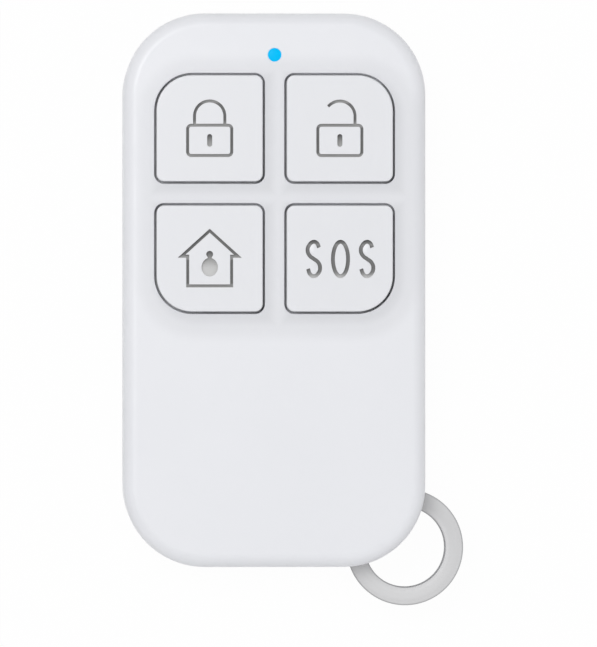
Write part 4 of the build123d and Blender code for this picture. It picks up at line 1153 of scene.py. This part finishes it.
for node, name, slot, material in (
    ("cell_can", "coin_cell_can", "cell_steel", cell_steel),
    ("cell_cap", "coin_cell_cap", "cell_steel", cell_steel),
    ("plus_contact", "plus_spring", "contact_steel", contact_steel),
    ("minus_contact", "minus_spring", "contact_steel", contact_steel),
    ("encoder_chip", "encoder_package", "chip_black", encoder_epoxy),
    ("radio_chip", "radio_package", "chip_black", radio_epoxy),
    ("crystal", "crystal_can", "crystal_steel", crystal_steel),
):
    eased_copy(node, name, material, STAMPED_SOFTNESS)
end_capped_parts("chip_resistors", "capped_resistors", resistor_black)
end_capped_parts("chip_capacitors", "capped_capacitors", capacitor_tan)
for node, material in (
    ("circuit_board", board_green),
    ("antenna_track", track_tin),
    ("encoder_leads", lead_tin),
    ("radio_leads", lead_tin),
    ("switch_terminals", lead_tin),
    ("status_led", led_white),
    ("cell_seal", seal_black),
):
    dress(node, material)


# ---- floor, light and camera

def stage_floor():
    """White floor that keeps a weak shadow."""
    bm = bmesh.new()
    bmesh.ops.create_grid(bm, x_segments=1, y_segments=1, size=FLOOR_SIZE / 2)
    move(bm, (0.0, 0.0, cad_box[0].z - FLOOR_DEPTH))
    material = bpy.data.materials.new("floor_white")
    material.use_nodes = True
    tree = material.node_tree
    tree.nodes.clear()
    share = maths(tree, "MULTIPLY", seen_or_mirrored(tree), FLOOR_GLOW)
    matt = add(tree, "ShaderNodeBsdfDiffuse", {"Color": opaque(FLOOR_GREY)}).outputs[0]
    glow = add(tree, "ShaderNodeEmission", {"Color": opaque(FULL_LIGHT), "Strength": 1.0}).outputs[0]
    both = add(tree, "ShaderNodeMixShader", {0: share, 1: matt, 2: glow}).outputs[0]
    add(tree, "ShaderNodeOutputMaterial", {"Surface": both})
    new_piece("floor", bm, [material])


def seen_or_mirrored(tree):
    """1 where the camera sees a surface, straight, in a reflection or through clear plastic."""
    paths = add(tree, "ShaderNodeLightPath").outputs
    indirect = maths(tree, "MAXIMUM", paths["Is Glossy Ray"], paths["Is Transmission Ray"])
    return maths(tree, "MAXIMUM", paths["Is Camera Ray"], indirect)


def area_lamp(name, place, size, power):
    """A square soft box that faces the middle of the fob."""
    lamp = bpy.data.lights.new(name, "AREA")
    lamp.size = size
    lamp.energy = power
    holder = bpy.data.objects.new(name, lamp)
    holder.location = place
    holder.rotation_euler = (-Vector(place)).to_track_quat("-Z", "Y").to_euler()
    bpy.context.scene.collection.objects.link(holder)


def world_light():
    """Plain world light, white where it is seen or mirrored."""
    world = bpy.data.worlds.new("studio")
    bpy.context.scene.world = world
    world.use_nodes = True
    tree = world.node_tree
    tree.nodes.clear()
    strength = spread(tree, seen_or_mirrored(tree), 0.0, 1.0, WORLD_LIGHT, 1.0)
    background = add(tree, "ShaderNodeBackground", {"Color": opaque(FULL_LIGHT), "Strength": strength})
    add(tree, "ShaderNodeOutputWorld", {"Surface": background.outputs[0]})


def leaning_camera():
    """Camera that looks down on the front face."""
    camera = bpy.data.cameras.new("camera")
    camera.sensor_width = SENSOR_WIDTH_MM
    camera.lens = SENSOR_WIDTH_MM * CAMERA_DISTANCE / VIEW_HEIGHT
    camera.clip_start, camera.clip_end = CAMERA_REACH
    holder = bpy.data.objects.new("camera", camera)
    lean = math.radians(VIEW_LEAN_DEG)
    holder.location = (VIEW_CENTRE[0] - CAMERA_DISTANCE * math.sin(lean), VIEW_CENTRE[1],
                       cad_box[1].z + CAMERA_DISTANCE * math.cos(lean))
    holder.rotation_euler = (0.0, -lean, 0.0)
    bpy.context.scene.collection.objects.link(holder)
    bpy.context.scene.camera = holder


stage_floor()
area_lamp("key_lamp", *KEY_LAMP)
area_lamp("fill_lamp", *FILL_LAMP)
world_light()
leaning_camera()
bpy.context.scene.view_settings.view_transform = "Standard"
